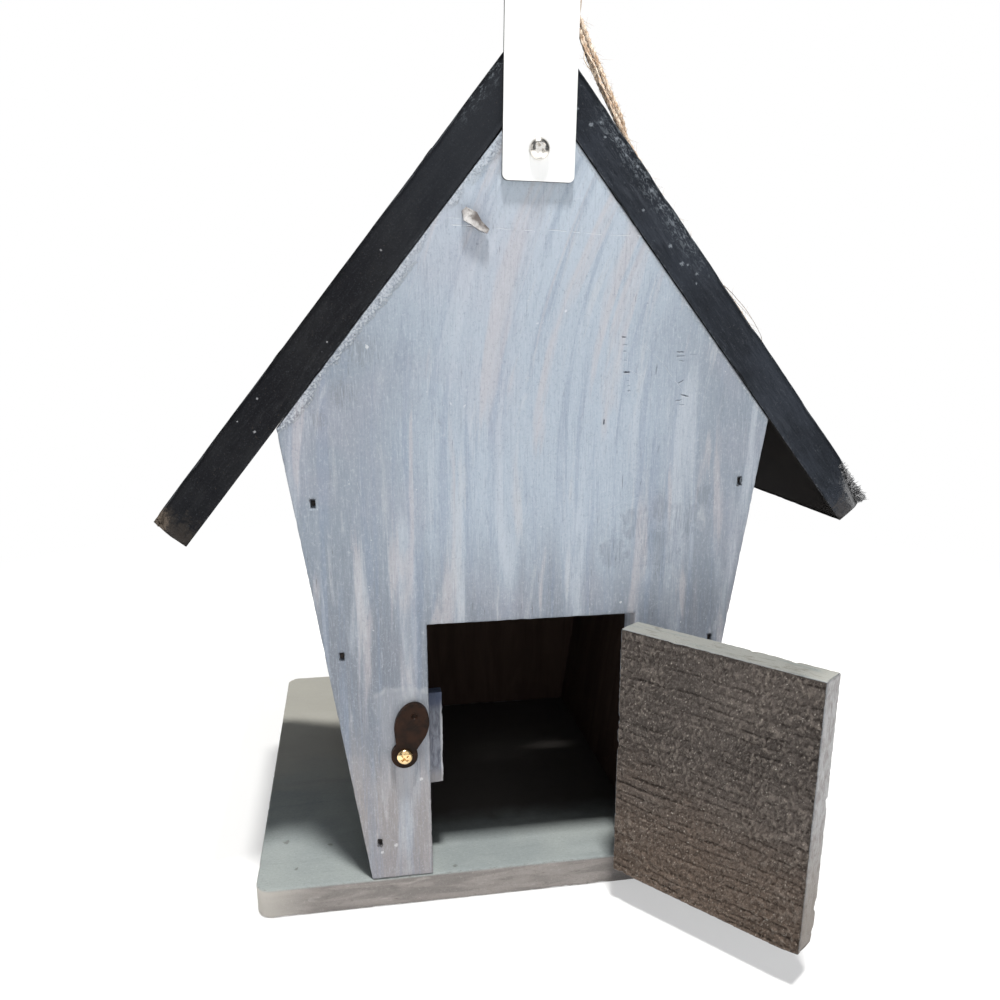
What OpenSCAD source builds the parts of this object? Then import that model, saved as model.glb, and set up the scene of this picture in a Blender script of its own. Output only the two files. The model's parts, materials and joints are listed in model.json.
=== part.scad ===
// Wooden bird house with a hinged cleaning door, pitched roof and wide base.
// +Z up, the door side faces -Y. The origin is the centre of the base's underside.

/* [House body] */
// Half width of the end panels where they meet the base
bottom_half_w = 50.3; // [49:0.1:52]
// Half width of the end panels at the shoulders
shoulder_half_w = 70; // [69:0.5:72]
// Height of the shoulders above the base
shoulder_h = 140.1; // [138:0.1:143]
// Height of the peak of the end panels above the base
peak_h = 225.3; // [223:0.1:227]
// Thickness of the end panels and the side walls
wall_t = 10; // [9.5:0.5:10.5]
// Depth of the house from the door face to the entrance face
body_depth = 136; // [130:1:140]

/* [Base] */
// Width of the base board
base_w = 172; // [170:1:180]
// Depth of the base board
base_d = 172; // [170:1:180]
// Thickness of the base board
base_t = 10.2; // [9.8:0.1:10.6]
// Radius of the base board's vertical corners
base_corner_r = 5; // [2:0.5:8]

/* [Roof] */
// Thickness of the roof boards
roof_t = 10.8; // [10:0.1:11.5]
// Length of each roof board down the slope, on its underside
roof_len = 150.8; // [145:0.1:155]
// Depth of the roof, flush with the door face and overhanging the entrance
roof_depth = 162; // [155:1:168]

/* [Door] */
// Width of the door opening
opening_w = 62.7; // [62.5:0.1:63.2]
// Height of the door opening above the base
opening_h = 82.6; // [82:0.1:84]
// Width of the door
door_w = 61.3; // [60:0.1:61.4]
// Height of the door
door_h = 80.5; // [78:0.1:81]
// Thickness of the door
door_t = 8.9; // [8.5:0.1:9]
// Angle the door stands open from closed
door_open = 128.4; // [120:0.1:130]

/* [Turn button] */
// Lean of the turn button away from upright
button_lean = 14.4; // [10:0.1:16]
// Thickness of the turn button
button_t = 1.8; // [1.5:0.1:2]

/* [Entrance] */
// Diameter of the entrance hole
entrance_d = 32; // [28:1:34]
// Height of the entrance hole's centre above the base
entrance_h = 128; // [120:1:132]

/* [Hanging strap] */
// Width of the metal strap
strap_w = 19; // [18:0.5:19]
// Length of the metal strap
strap_len = 100; // [90:1:110]
// Thickness of the metal strap
strap_t = 1.2; // [1:0.1:1.2]

/* [Hidden] */
$fn = 48;

paint = [0.62, 0.66, 0.71];
basepaint = [0.56, 0.58, 0.57];
slate = [0.11, 0.12, 0.14];
rough = [0.42, 0.38, 0.35];
bronze = [0.19, 0.13, 0.09];
steel = [0.86, 0.86, 0.85];
brass = [0.82, 0.68, 0.42];
dark = [0.10, 0.10, 0.10];
jute = [0.68, 0.55, 0.38];

y_front = -base_d / 2;                 // door face
y_back = y_front + body_depth;         // entrance face
z0 = base_t;                           // top of the base
z_sh = z0 + shoulder_h;
z_pk = z0 + peak_h;
slope = (peak_h - shoulder_h) / shoulder_half_w;
pitch = atan(slope);
ridge_z = z_pk + roof_t / cos(pitch);
lean = (shoulder_half_w - bottom_half_w) / shoulder_h;
wall_in = wall_t * sqrt(1 + lean * lean);

// Edges of the door opening
opening_x1 = 31.5;
opening_x0 = opening_x1 - opening_w;
// Hinge axis, just in front of the door face at the right jamb
hx = opening_x1 + 0.4;
hy = y_front - 1.5;
hinge_r = 1.25;
pin_r = 0.6;
hinge_h = 14;
hinge_z = [z0 + 15.9, z0 + 65.4];
leaf_w = 9;
leaf_t = 0.7;
knuckle = [4.6, 4.4];                  // outer and middle knuckle lengths
knuckle_gap = 0.2;

door_x1 = hx - 1.0;                    // hinge edge of the closed door
door_x0 = door_x1 - door_w;
door_z = z0 + 0.9;

// Turn button pivot
bx = -39.05;
bz = z0 + 42.5;
button_r = 3.95;
oval_a = 7.3;
oval_b = 5.06;
oval_c = 9.75;
button_y = y_front - 0.2;              // back face of the button
bscrew_r = 1.25;

// Strap pivot
sx = 0.55;
sz = z0 + 209.7;
strap_below = 7.6;
strap_tilt = 1;
sscrew_r = 1.45;
strap_y = y_front - 0.2;
strap_hole_r = 2.5;
strap_hole_up = strap_len - strap_below - 9;

// Cord hole through the ridge
cord_y = -66;
cord_r = 0.8;
cord_gap = 2;                          // half the distance between the strands

// --- helpers -------------------------------------------------------------

// Outline in X and Z extruded along Y from y0 to y1
module plate_y(points, y0, y1) {
  translate([0, y1, 0]) rotate([90, 0, 0])
    linear_extrude(y1 - y0) polygon(points);
}

// Round bar along Y from y0 to y1 at x, z
module bar_y(x, z, r, y0, y1) {
  translate([x, y1, z]) rotate([90, 0, 0]) cylinder(r = r, h = y1 - y0);
}

function panel_outline() = [[-bottom_half_w, z0], [bottom_half_w, z0],
  [shoulder_half_w, z_sh], [0, z_pk], [-shoulder_half_w, z_sh]];

// Brads through each end panel into the walls' edges, [x, height above the base]
brads_l = [[-61.5, 119.5], [-55.9, 74.5], [-47.4, 12.7]];
brads_r = [[62.2, 122], [55.9, 73.2], [47.3, 12]];
brads = concat(brads_l, brads_r);

function wall_x(z) = bottom_half_w + lean * (z - z0);
// Where the wall's inner face meets the roof's underside
wall_top_z = (z_pk - slope * (bottom_half_w - wall_in) + slope * lean * z0)
  / (1 + slope * lean);

module brad_pockets(y, dir) {
  for (p = brads)
    translate([p[0] - 0.65, dir > 0 ? y - 0.1 : y - 1.1, z0 + p[1] - 1.3])
      cube([1.3, 1.2, 2.6]);
}

module brads_y(y, dir) {
  for (p = brads)
    translate([p[0] - 0.5, dir > 0 ? y + 1.0 : y - 23, z0 + p[1] - 0.7])
      cube([1.0, 22, 1.4]);
}

// --- structure -----------------------------------------------------------

module base_board() {
  color(basepaint) linear_extrude(base_t) difference() {
    square([base_w, base_d], center = true);
    for (a = [0 : 3]) rotate(90 * a)
      translate([base_w / 2 - base_corner_r, base_d / 2 - base_corner_r])
        difference() {
          square(base_corner_r + 1);
          circle(base_corner_r);
        }
  }
}

module door_panel() {
  color(paint) difference() {
    plate_y(panel_outline(), y_front, y_front + wall_t);
    translate([opening_x0, y_front - 1, z0 - 1])
      cube([opening_w, wall_t + 2, opening_h + 1]);
    brad_pockets(y_front, 1);
  }
}

module entrance_panel() {
  color(paint) difference() {
    plate_y(panel_outline(), y_back - wall_t, y_back);
    bar_y(0, z0 + entrance_h, entrance_d / 2, y_back - wall_t - 1, y_back + 1);
    brad_pockets(y_back, -1);
  }
}

module side_wall(s) {
  color(paint) plate_y([for (p = [[wall_x(z0), z0], [wall_x(z_sh), z_sh],
      [bottom_half_w - wall_in + lean * (wall_top_z - z0), wall_top_z],
      [bottom_half_w - wall_in, z0]]) [s * p[0], p[1]]],
    y_front + wall_t, y_back - wall_t);
}
module side_wall_left() { side_wall(-1); }
module side_wall_right() { side_wall(1); }

module roof_board(s) {
  ex = roof_len * cos(pitch);
  ez = z_pk - roof_len * sin(pitch);
  color(slate) difference() {
    plate_y([for (p = [[0, z_pk], [ex, ez],
        [ex + roof_t * sin(pitch), ez + roof_t * cos(pitch)],
        [0, ridge_z]]) [s * p[0], p[1]]],
      y_front, y_front + roof_depth);
    translate([0, cord_y, z_pk - 10]) cylinder(r = 4, h = 40);
  }
}
module roof_board_left() { roof_board(-1); }
module roof_board_right() { roof_board(1); }

module door_stop() {
  color(paint) translate([-38, y_front + wall_t, z0 + 26.2])
    cube([11.7, 4, 31]);
}

// --- door and its hinges -------------------------------------------------

// Turns what is drawn in the closed place to the open place
module swung() {
  translate([hx, hy, 0]) rotate([0, 0, door_open]) translate([-hx, -hy, 0])
    children();
}

module door() {
  color(rough) swung()
    translate([door_x0, y_front, door_z]) cube([door_w, door_t, door_h]);
}

module hinge_leaves_frame() {
  color(bronze) for (z = hinge_z) difference() {
    union() {
      translate([hx, y_front - leaf_t, z - hinge_h / 2])
        cube([leaf_w, leaf_t, knuckle[0]]);
      translate([hx, y_front - leaf_t, z + hinge_h / 2 - knuckle[0]])
        cube([leaf_w, leaf_t, knuckle[0]]);
      translate([hx + 1.8, y_front - leaf_t, z - hinge_h / 2])
        cube([leaf_w - 1.8, leaf_t, hinge_h]);
      for (e = [-hinge_h / 2, hinge_h / 2 - knuckle[0]])
        translate([hx, hy, z + e]) cylinder(r = hinge_r, h = knuckle[0]);
    }
    translate([hx, hy, z - hinge_h]) cylinder(r = pin_r, h = 2 * hinge_h);
    for (e = [-4.2, 4.2]) bar_y(hx + 6, z + e, 0.9, y_front - 2, y_front + 1);
  }
}

module hinge_leaves_door() {
  color(bronze) swung() for (z = hinge_z) difference() {
    union() {
      translate([hx - 3, y_front - leaf_t, z - knuckle[1] / 2])
        cube([3, leaf_t, knuckle[1]]);
      translate([hx - leaf_w, y_front - leaf_t, z - hinge_h / 2])
        cube([leaf_w - 1.8, leaf_t, hinge_h]);
      translate([hx, hy, z - knuckle[1] / 2])
        cylinder(r = hinge_r, h = knuckle[1]);
    }
    translate([hx, hy, z - hinge_h]) cylinder(r = pin_r + 0.05, h = 2 * hinge_h);
    for (e = [-4.2, 4.2]) bar_y(hx - 6, z + e, 0.9, y_front - 2, y_front + 1);
  }
}

module hinge_pins() {
  color(bronze) for (z = hinge_z) {
    translate([hx, hy, z - hinge_h / 2 - 0.3])
      cylinder(r = pin_r, h = hinge_h + 0.6);
    for (e = [-hinge_h / 2 - 0.6, hinge_h / 2])
      translate([hx, hy, z + e]) cylinder(r = 1.0, h = 0.6);
  }
}

module hinge_screw(x, z) {
  bar_y(x, z, 1.4, y_front - leaf_t - 0.5, y_front - leaf_t);
  bar_y(x, z, 0.8, y_front - leaf_t - 0.2, y_front + 6);
}
module hinge_screws_frame() {
  color(bronze) for (z = hinge_z, e = [-4.2, 4.2]) hinge_screw(hx + 6, z + e);
}
module hinge_screws_door() {
  color(bronze) swung()
    for (z = hinge_z, e = [-4.2, 4.2]) hinge_screw(hx - 6, z + e);
}

// --- turn button ---------------------------------------------------------

module turn_button() {
  color(bronze) difference() {
    translate([bx, button_y, bz]) rotate([0, button_lean, 0])
      rotate([90, 0, 0]) union() {
        cylinder(r = button_r, h = button_t);
        translate([0, oval_c, 0]) linear_extrude(button_t)
          polygon([for (i = [0 : 47])
            [oval_b * cos(i * 7.5), oval_a * sin(i * 7.5)]]);
        linear_extrude(button_t)
          polygon([[-3.05, 2.4], [-4.35, 6], [4.35, 6], [3.05, 2.4]]);
      }
    bar_y(bx, bz, bscrew_r + 0.05, button_y - 5, button_y + 5);
    // thumb dimple near the free end
    translate([bx, button_y - button_t - 0.5, bz]) rotate([0, button_lean, 0])
      translate([0, 0, 13]) sphere(r = 1.1, $fn = 24);
  }
}

// Domed cross-head screw along Y: head in front of y, shank behind it
module cross_screw(x, y, z, head_r, head_h, r, length) {
  translate([x, y, z]) rotate([90, 0, 0]) difference() {
    union() {
      translate([0, 0, -length]) cylinder(r = r, h = length + 0.3);
      rotate_extrude() polygon(concat([[0, 0], [head_r, 0]],
        [for (i = [1 : 8]) [head_r * cos(i * 11.25),
                            head_h * (0.3 + 0.7 * sin(i * 11.25))]]));
    }
    for (a = [40, 130]) rotate([0, 0, a])
      translate([-head_r * 0.55, -0.35, head_h - 0.9])
        cube([head_r * 1.1, 0.7, 2]);
  }
}

module button_screw() {
  color(brass) cross_screw(bx, button_y - button_t - 0.1, bz,
    2.4, 1.5, bscrew_r, 12);
}

// --- strap ---------------------------------------------------------------

module hanging_strap() {
  cr = 1.5;
  color(steel) difference() {
    translate([sx, strap_y, sz]) rotate([0, strap_tilt, 0])
      rotate([90, 0, 0]) linear_extrude(strap_t) difference() {
        translate([-strap_w / 2, -strap_below]) square([strap_w, strap_len]);
        for (s = [-1, 1])
          translate([s * (strap_w / 2 - cr), -strap_below + cr])
            difference() {
              translate([s > 0 ? 0 : -cr - 1, -cr - 1]) square(cr + 1);
              circle(cr);
            }
        // rounded top corners
        for (s = [-1, 1])
          translate([s * (strap_w / 2 - 5), strap_len - strap_below - 5])
            difference() {
              translate([s > 0 ? 0 : -6, 0]) square(6);
              circle(5);
            }
      }
    bar_y(sx, sz, sscrew_r + 0.05, strap_y - 5, strap_y + 5);
    bar_y(sx + strap_hole_up * sin(strap_tilt), sz + strap_hole_up * cos(strap_tilt),
      strap_hole_r, strap_y - 5, strap_y + 5);
  }
}

module strap_screw() {
  color(steel) cross_screw(sx, strap_y - strap_t - 0.1, sz,
    2.65, 2.0, sscrew_r, 11);
}

// --- nails ---------------------------------------------------------------

// Nail hammered over flat against the panel
module bent_nail() {
  nx = -17.7;
  nz = z0 + 193.7;
  color(steel) {
    bar_y(nx, nz, 0.9, y_front - 1.2, y_front + 9);
    plate_y([for (p = [[-1.9, 1.0], [-0.9, 1.9], [1.9, 0.7], [3.2, -1.5],
      [5.2, -3.4], [4.6, -4.4], [2.6, -3.7], [0.4, -2.3], [-1.5, -1.3]])
      [nx + p[0], nz + p[1]]], y_front - 1.9, y_front - 0.5);
  }
}

module brads_door_panel() { color(dark) brads_y(y_front, 1); }
module brads_entrance_panel() { color(dark) brads_y(y_back, -1); }

// Nails through the roof boards into the edges of the end panels
module brads_roof() {
  color(dark) for (s = [-1, 1], y = [y_front + 5, y_back - 5], d = [30, 95])
    translate([s * d * cos(pitch), y, z_pk - d * sin(pitch)])
      rotate([0, s * pitch, 0]) {
        translate([0, 0, -12]) cylinder(r = 0.8, h = 12 + roof_t);
        translate([0, 0, roof_t - 0.6]) cylinder(r = 1.7, h = 0.8);
      }
}

// Nails up through the base into the walls and end panels
module brads_base() {
  color(dark) for (p = [[-45, -55], [-45, 0], [-45, 28], [45, -55], [45, 0],
                        [45, 28], [0, y_back - 5], [-41, y_front + 5],
                        [41, y_front + 5]])
    translate([p[0], p[1], 0]) {
      cylinder(r = 0.8, h = 22);
      translate([0, 0, 0.3]) cylinder(r = 1.7, h = 0.7);
    }
}

// --- cord ----------------------------------------------------------------

// Route of the hanging loop: out of the ridge, over onto the right slope,
// round a turn and back to the same hole
function on_roof(x, y) = [x, y, ridge_z - slope * x + (cord_r + 0.15) / cos(pitch)];
ROUTE = [[0, -68, 252], [0.8, -68, 257.6], [2.8, -68.2, 260], [5.8, -68.7, 260.8],
  [9, -69.2, 259.6], [12.2, -69.8, 256.2], [15.1, -70.5, 251.5], [16.4, -72, 247.4],
  [17.8, -74.2, 242.6], [19.6, -77.2, 236.9], [21.6, -79.8, 231.6], [23.5, -81.6, 226.9],
  on_roof(26.8, -82), on_roof(31.5, -80.8), on_roof(37.5, -79.6), on_roof(50.5, -79.8),
  on_roof(56.5, -80.6), on_roof(61.5, -80.8), on_roof(65.6, -79.4), on_roof(68.6, -76.4),
  on_roof(69.6, -72.9), on_roof(68.4, -69.5), on_roof(65.2, -66.9), on_roof(60, -65.6),
  on_roof(48, -67.4), on_roof(36.6, -73), on_roof(31.8, -76.2), on_roof(27.6, -78.4),
  [24.8, -78.4, 229.3], [23.5, -76.4, 233.5], [21.8, -73.6, 238.8], [20, -70.6, 244.8],
  [18.1, -68, 250.5], [16, -66.2, 256.2], [12.6, -65.4, 260.6], [9.2, -64.8, 263.2],
  [5.4, -64.3, 263], [2.2, -64, 260.6], [0.6, -64, 257.2], [0, -64, 252]];

function unit(v) = v / norm(v);
function tangent(p, i) = unit(p[min(i + 1, len(p) - 1)] - p[max(i - 1, 0)]);
// A side direction square to the tangent, carried along the route
function carry(t, u) = unit(u - (u * t) * t);
function sides(p, i, u) = i == len(p) ? [] :
  let (v = carry(tangent(p, i), u)) concat([v], sides(p, i + 1, v));
function ring(p, i, v, r, n) =
  let (t = tangent(p, i), w = cross(t, v))
  [for (k = [0 : n - 1]) p[i] + r * cos(360 * k / n) * v + r * sin(360 * k / n) * w];

module tube(p, r, n) {
  sd = sides(p, 0, [0, 1, 0]);
  m = len(p);
  polyhedron(
    points = [for (i = [0 : m - 1]) each ring(p, i, sd[i], r, n)],
    faces = concat(
      [[for (k = [0 : n - 1]) k]],
      [for (i = [0 : m - 2], k = [0 : n - 1])
        let (a = i * n + k, b = i * n + (k + 1) % n) [a, a + n, b + n]],
      [for (i = [0 : m - 2], k = [0 : n - 1])
        let (a = i * n + k, b = i * n + (k + 1) % n) [a, b + n, b]],
      [[for (k = [n - 1 : -1 : 0]) (m - 1) * n + k]]));
}

module jute_loop() { color(jute) tube(ROUTE, cord_r, 8); }

// Both ends run down through the ridge into one knot under it
module loop_knot() {
  color(jute) {
    for (s = [-1, 1]) translate([0, cord_y + s * cord_gap, z_pk - 9])
      cylinder(r = cord_r, h = 252 - z_pk + 9);
    translate([0, cord_y, z_pk - 8.5]) sphere(r = 4.9);
  }
}

base_board();
door_panel();
entrance_panel();
side_wall_left();
side_wall_right();
roof_board_left();
roof_board_right();
door();
hinge_leaves_frame();
hinge_leaves_door();
hinge_pins();
hinge_screws_frame();
hinge_screws_door();
turn_button();
button_screw();
door_stop();
hanging_strap();
strap_screw();
bent_nail();
brads_door_panel();
brads_entrance_panel();
brads_roof();
brads_base();
jute_loop();
loop_knot();
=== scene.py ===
import json
import math

import bmesh
import bpy
import numpy as np
from mathutils import Matrix, Vector


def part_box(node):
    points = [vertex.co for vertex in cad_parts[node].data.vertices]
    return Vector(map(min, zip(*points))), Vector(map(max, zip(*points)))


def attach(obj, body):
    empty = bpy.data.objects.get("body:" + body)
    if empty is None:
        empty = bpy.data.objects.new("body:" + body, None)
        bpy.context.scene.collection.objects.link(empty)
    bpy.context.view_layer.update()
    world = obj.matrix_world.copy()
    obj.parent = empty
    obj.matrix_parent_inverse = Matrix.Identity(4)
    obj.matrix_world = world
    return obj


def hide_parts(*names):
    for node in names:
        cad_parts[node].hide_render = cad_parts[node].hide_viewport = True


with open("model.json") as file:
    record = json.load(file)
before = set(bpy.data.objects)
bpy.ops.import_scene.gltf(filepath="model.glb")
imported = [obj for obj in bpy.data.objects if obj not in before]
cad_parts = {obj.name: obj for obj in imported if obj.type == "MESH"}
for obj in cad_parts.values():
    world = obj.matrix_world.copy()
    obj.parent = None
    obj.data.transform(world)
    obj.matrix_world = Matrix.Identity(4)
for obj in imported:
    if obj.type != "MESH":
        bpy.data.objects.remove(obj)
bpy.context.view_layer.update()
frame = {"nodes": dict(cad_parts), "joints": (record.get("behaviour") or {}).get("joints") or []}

MM = 0.001
N = frame["nodes"]

# ---------------------------------------------------------------- camera
R = ((0.98587912, -0.16743590, -0.00275338),
     (-0.04718295, -0.26196676, -0.96392281),
     (0.16067399, 0.95044129, -0.26616767))
cam_data = bpy.data.cameras.new("camera")
cam = bpy.data.objects.new("camera", cam_data)
bpy.context.scene.collection.objects.link(cam)
cam_data.sensor_width = 36.0
cam_data.lens = 36.0 * 870.414 / 1000.0
cam_data.shift_x = (500.0 - 498.982) / 1000.0
cam_data.shift_y = (571.299 - 500.0) / 1000.0
cam_data.clip_start = 0.01
cam_data.clip_end = 50.0
right, down, ahead = Vector(R[0]), Vector(R[1]), Vector(R[2])
m3 = Matrix((right, -down, -ahead)).transposed()
cam.matrix_world = Matrix.Translation((-0.05046, -0.325465, 0.175115)) @ m3.to_4x4()
bpy.context.scene.camera = cam

# ---------------------------------------------------------------- numbers from the frame
base_lo, base_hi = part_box("base_board")
panel_lo, panel_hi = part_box("door_panel")
roof_lo, roof_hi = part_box("roof_board_right")
button_lo, button_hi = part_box("turn_button")
joints = {j["name"]: j for j in frame["joints"]}
hinge = Vector(joints["door_hinge"]["pos_m"])
door_closed = math.radians(joints["door_hinge"]["range_deg"][0])
latch = Vector(joints["latch_turn"]["pos_m"])
Z0 = base_hi.z                      # top of the base
YF = panel_lo.y                     # door face
APEX = panel_hi.z                   # peak of the end panels
SHOULDER_X = panel_hi.x
SHOULDER_Z = Z0 + 0.1401
PITCH = math.atan((APEX - SHOULDER_Z) / SHOULDER_X)
bpy.context.scene.view_settings.view_transform = "Standard"


# ---------------------------------------------------------------- noise in numpy
def _hash(ix, iy, iz, seed):
    h = (ix * 73856093) ^ (iy * 19349663) ^ (iz * 83492791) ^ ((seed * 2654435761) & 0xffffffff)
    h &= 0xffffffff
    h = ((h ^ (h >> 16)) * 0x45d9f3b) & 0xffffffff
    h = ((h ^ (h >> 16)) * 0x45d9f3b) & 0xffffffff
    h ^= h >> 16
    return h / 4294967295.0


def vnoise(p, seed=0):
    i = np.floor(p).astype(np.int64)
    f = p - i
    f = f * f * (3 - 2 * f)
    out = np.zeros(len(p))
    for a in (0, 1):
        wa = f[:, 0] if a else 1 - f[:, 0]
        for b in (0, 1):
            wb = f[:, 1] if b else 1 - f[:, 1]
            for c in (0, 1):
                wc = f[:, 2] if c else 1 - f[:, 2]
                out += wa * wb * wc * _hash(i[:, 0] + a, i[:, 1] + b, i[:, 2] + c, seed)
    return out * 2 - 1


def fbm(p, octaves=4, seed=0, gain=0.5):
    total, amp, norm = np.zeros(len(p)), 1.0, 0.0
    for o in range(octaves):
        total += amp * vnoise(p * 2.0 ** o + 17.3 * o, seed + 31 * o)
        norm += amp
        amp *= gain
    return total / norm


def sstep(a, b, x):
    t = np.clip((x - a) / (b - a), 0, 1)
    return t * t * (3 - 2 * t)


# ---------------------------------------------------------------- node materials
class Mat:
    def __init__(self, name):
        self.m = bpy.data.materials.new(name)
        self.m.use_nodes = True
        self.t = self.m.node_tree
        self.t.nodes.clear()
        self.out = self.t.nodes.new("ShaderNodeOutputMaterial")
        self.b = self.t.nodes.new("ShaderNodeBsdfPrincipled")
        self.t.links.new(self.b.outputs[0], self.out.inputs[0])
        tc = self.t.nodes.new("ShaderNodeTexCoord")
        self.p = self.vscale(tc.outputs["Object"], (1000, 1000, 1000))   # millimetres

    def put(self, sock, v):
        if isinstance(v, bpy.types.NodeSocket):
            self.t.links.new(v, sock)
        else:
            sock.default_value = v

    def set(self, **kw):
        for k, v in kw.items():
            self.put(self.b.inputs[k.replace("_", " ")], v)

    def vscale(self, v, s):
        n = self.t.nodes.new("ShaderNodeVectorMath")
        n.operation = "MULTIPLY"
        self.put(n.inputs[0], v)
        n.inputs[1].default_value = s
        return n.outputs[0]

    def vadd(self, v, s):
        n = self.t.nodes.new("ShaderNodeVectorMath")
        n.operation = "ADD"
        self.put(n.inputs[0], v)
        self.put(n.inputs[1], s)
        return n.outputs[0]

    def add3(self, a, b):
        n = self.t.nodes.new("ShaderNodeVectorMath")
        n.operation = "ADD"
        self.put(n.inputs[0], a)
        self.put(n.inputs[1], b)
        return n.outputs[0]

    def t_noise_vec(self, scale):
        n = self.t.nodes.new("ShaderNodeTexNoise")
        self.put(n.inputs["Vector"], self.vscale(self.p, (scale, scale, scale)))
        n.inputs["Scale"].default_value = 1.0
        n.inputs["Detail"].default_value = 3
        return n.outputs["Color"]

    def join(self, x, y, z):
        n = self.t.nodes.new("ShaderNodeCombineXYZ")
        for i, v in enumerate((x, y, z)):
            self.put(n.inputs[i], v)
        return n.outputs[0]

    def xyz(self, v=None):
        n = self.t.nodes.new("ShaderNodeSeparateXYZ")
        self.put(n.inputs[0], self.p if v is None else v)
        return n.outputs[0], n.outputs[1], n.outputs[2]

    def math(self, op, a, b=0.0, c=0.0, clamp=False):
        n = self.t.nodes.new("ShaderNodeMath")
        n.operation = op
        n.use_clamp = clamp
        self.put(n.inputs[0], a)
        self.put(n.inputs[1], b)
        self.put(n.inputs[2], c)
        return n.outputs[0]

    def add(self, a, b): return self.math("ADD", a, b)
    def sub(self, a, b): return self.math("SUBTRACT", a, b)
    def mul(self, a, b): return self.math("MULTIPLY", a, b)
    def max(self, a, b): return self.math("MAXIMUM", a, b)
    def min(self, a, b): return self.math("MINIMUM", a, b)
    def abs(self, a): return self.math("ABSOLUTE", a)

    def step(self, x, a, b):
        """0 at a, 1 at b, smooth."""
        n = self.t.nodes.new("ShaderNodeMapRange")
        n.interpolation_type = "SMOOTHSTEP"
        self.put(n.inputs["Value"], x)
        if a < b:
            n.inputs["From Min"].default_value = a
            n.inputs["From Max"].default_value = b
            n.inputs["To Min"].default_value = 0
            n.inputs["To Max"].default_value = 1
        else:
            n.inputs["From Min"].default_value = b
            n.inputs["From Max"].default_value = a
            n.inputs["To Min"].default_value = 1
            n.inputs["To Max"].default_value = 0
        return n.outputs[0]

    def lerp(self, x, a, b):
        n = self.t.nodes.new("ShaderNodeMapRange")
        self.put(n.inputs["Value"], x)
        n.inputs["To Min"].default_value = a
        n.inputs["To Max"].default_value = b
        return n.outputs[0]

    def noise(self, scale, detail=4, rough=0.5, distort=0.0, vec=None, off=(0, 0, 0)):
        """scale is per millimetre along x, y, z."""
        v = self.vscale(self.p if vec is None else vec, scale)
        if any(off):
            v = self.vadd(v, off)
        n = self.t.nodes.new("ShaderNodeTexNoise")
        self.put(n.inputs["Vector"], v)
        n.inputs["Scale"].default_value = 1.0
        n.inputs["Detail"].default_value = detail
        n.inputs["Roughness"].default_value = rough
        n.inputs["Distortion"].default_value = distort
        return n.outputs[0]

    def voronoi(self, scale, vec=None, feature="F1", random=1.0):
        v = self.vscale(self.p if vec is None else vec, scale)
        n = self.t.nodes.new("ShaderNodeTexVoronoi")
        n.feature = feature
        self.put(n.inputs["Vector"], v)
        n.inputs["Scale"].default_value = 1.0
        n.inputs["Randomness"].default_value = random
        return n.outputs["Distance"]

    def mix(self, fac, a, b, mode="MIX"):
        n = self.t.nodes.new("ShaderNodeMix")
        n.data_type = "RGBA"
        n.blend_type = mode
        ins = [s for s in n.inputs if s.enabled]
        self.put(n.inputs[0], fac)
        for sock, v in ((n.inputs[6], a), (n.inputs[7], b)):
            if isinstance(v, tuple) and len(v) == 3:
                v = (*v, 1.0)
            self.put(sock, v)
        return n.outputs[2]

    def attr(self, name):
        n = self.t.nodes.new("ShaderNodeAttribute")
        n.attribute_name = name
        return n.outputs["Fac"]

    def bump(self, height, dist_mm, strength=1.0, normal=None):
        n = self.t.nodes.new("ShaderNodeBump")
        n.inputs["Strength"].default_value = strength
        n.inputs["Distance"].default_value = dist_mm * MM
        self.put(n.inputs["Height"], height)
        if normal is not None:
            self.t.links.new(normal, n.inputs["Normal"])
        return n.outputs[0]


def srgb(r, g, b):
    def f(c):
        c /= 255.0
        return c / 12.92 if c <= 0.04045 else ((c + 0.055) / 1.055) ** 2.4
    return (f(r), f(g), f(b))


def tone(r, g, b, k=1.0):
    """A colour as it should look under light that shows a white surface at k."""
    return tuple(min(0.95, c / k) for c in srgb(r, g, b))


def spots(m, u, v, where, seed=(3, 8, 2), freq=1.5):
    """Small ragged spots on the plane u, v (mm): (u, v, radius)."""
    n = m.mul(m.sub(m.noise((freq, freq, freq), 5, 0.75, off=seed), 0.5), 3.4 if freq < 2 else 5.0)
    total = None
    for a, b, r in where:
        du, dv = m.sub(u, a), m.sub(v, b)
        d = m.math("SQRT", m.add(m.mul(du, du), m.mul(dv, dv)))
        k = m.step(m.add(d, m.mul(n, r)), r, r * 0.6)
        total = k if total is None else m.max(total, k)
    return total


def ticks(m, u, v, marks):
    """Short strokes on the plane u, v (mm): (u, v, half length, half width, lean in degrees, strength)."""
    total = None
    wob = m.mul(m.sub(m.noise((1.2, 1.2, 1.2), 3, 0.6, off=(4, 9, 1)), 0.5), 0.9)
    for a, b, hl, hw, lean, s in marks:
        cs, sn = math.cos(math.radians(lean)), math.sin(math.radians(lean))
        du, dv = m.sub(u, a), m.sub(v, b)
        along = m.abs(m.add(m.mul(du, cs), m.mul(dv, sn)))
        across = m.abs(m.add(m.sub(m.mul(dv, cs), m.mul(du, sn)), m.mul(wob, 0.6)))
        q = m.mul(m.mul(m.step(across, hw, hw * 0.3), m.step(m.add(along, wob), hl, hl * 0.4)), s)
        total = q if total is None else m.max(total, q)
    return total


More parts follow.
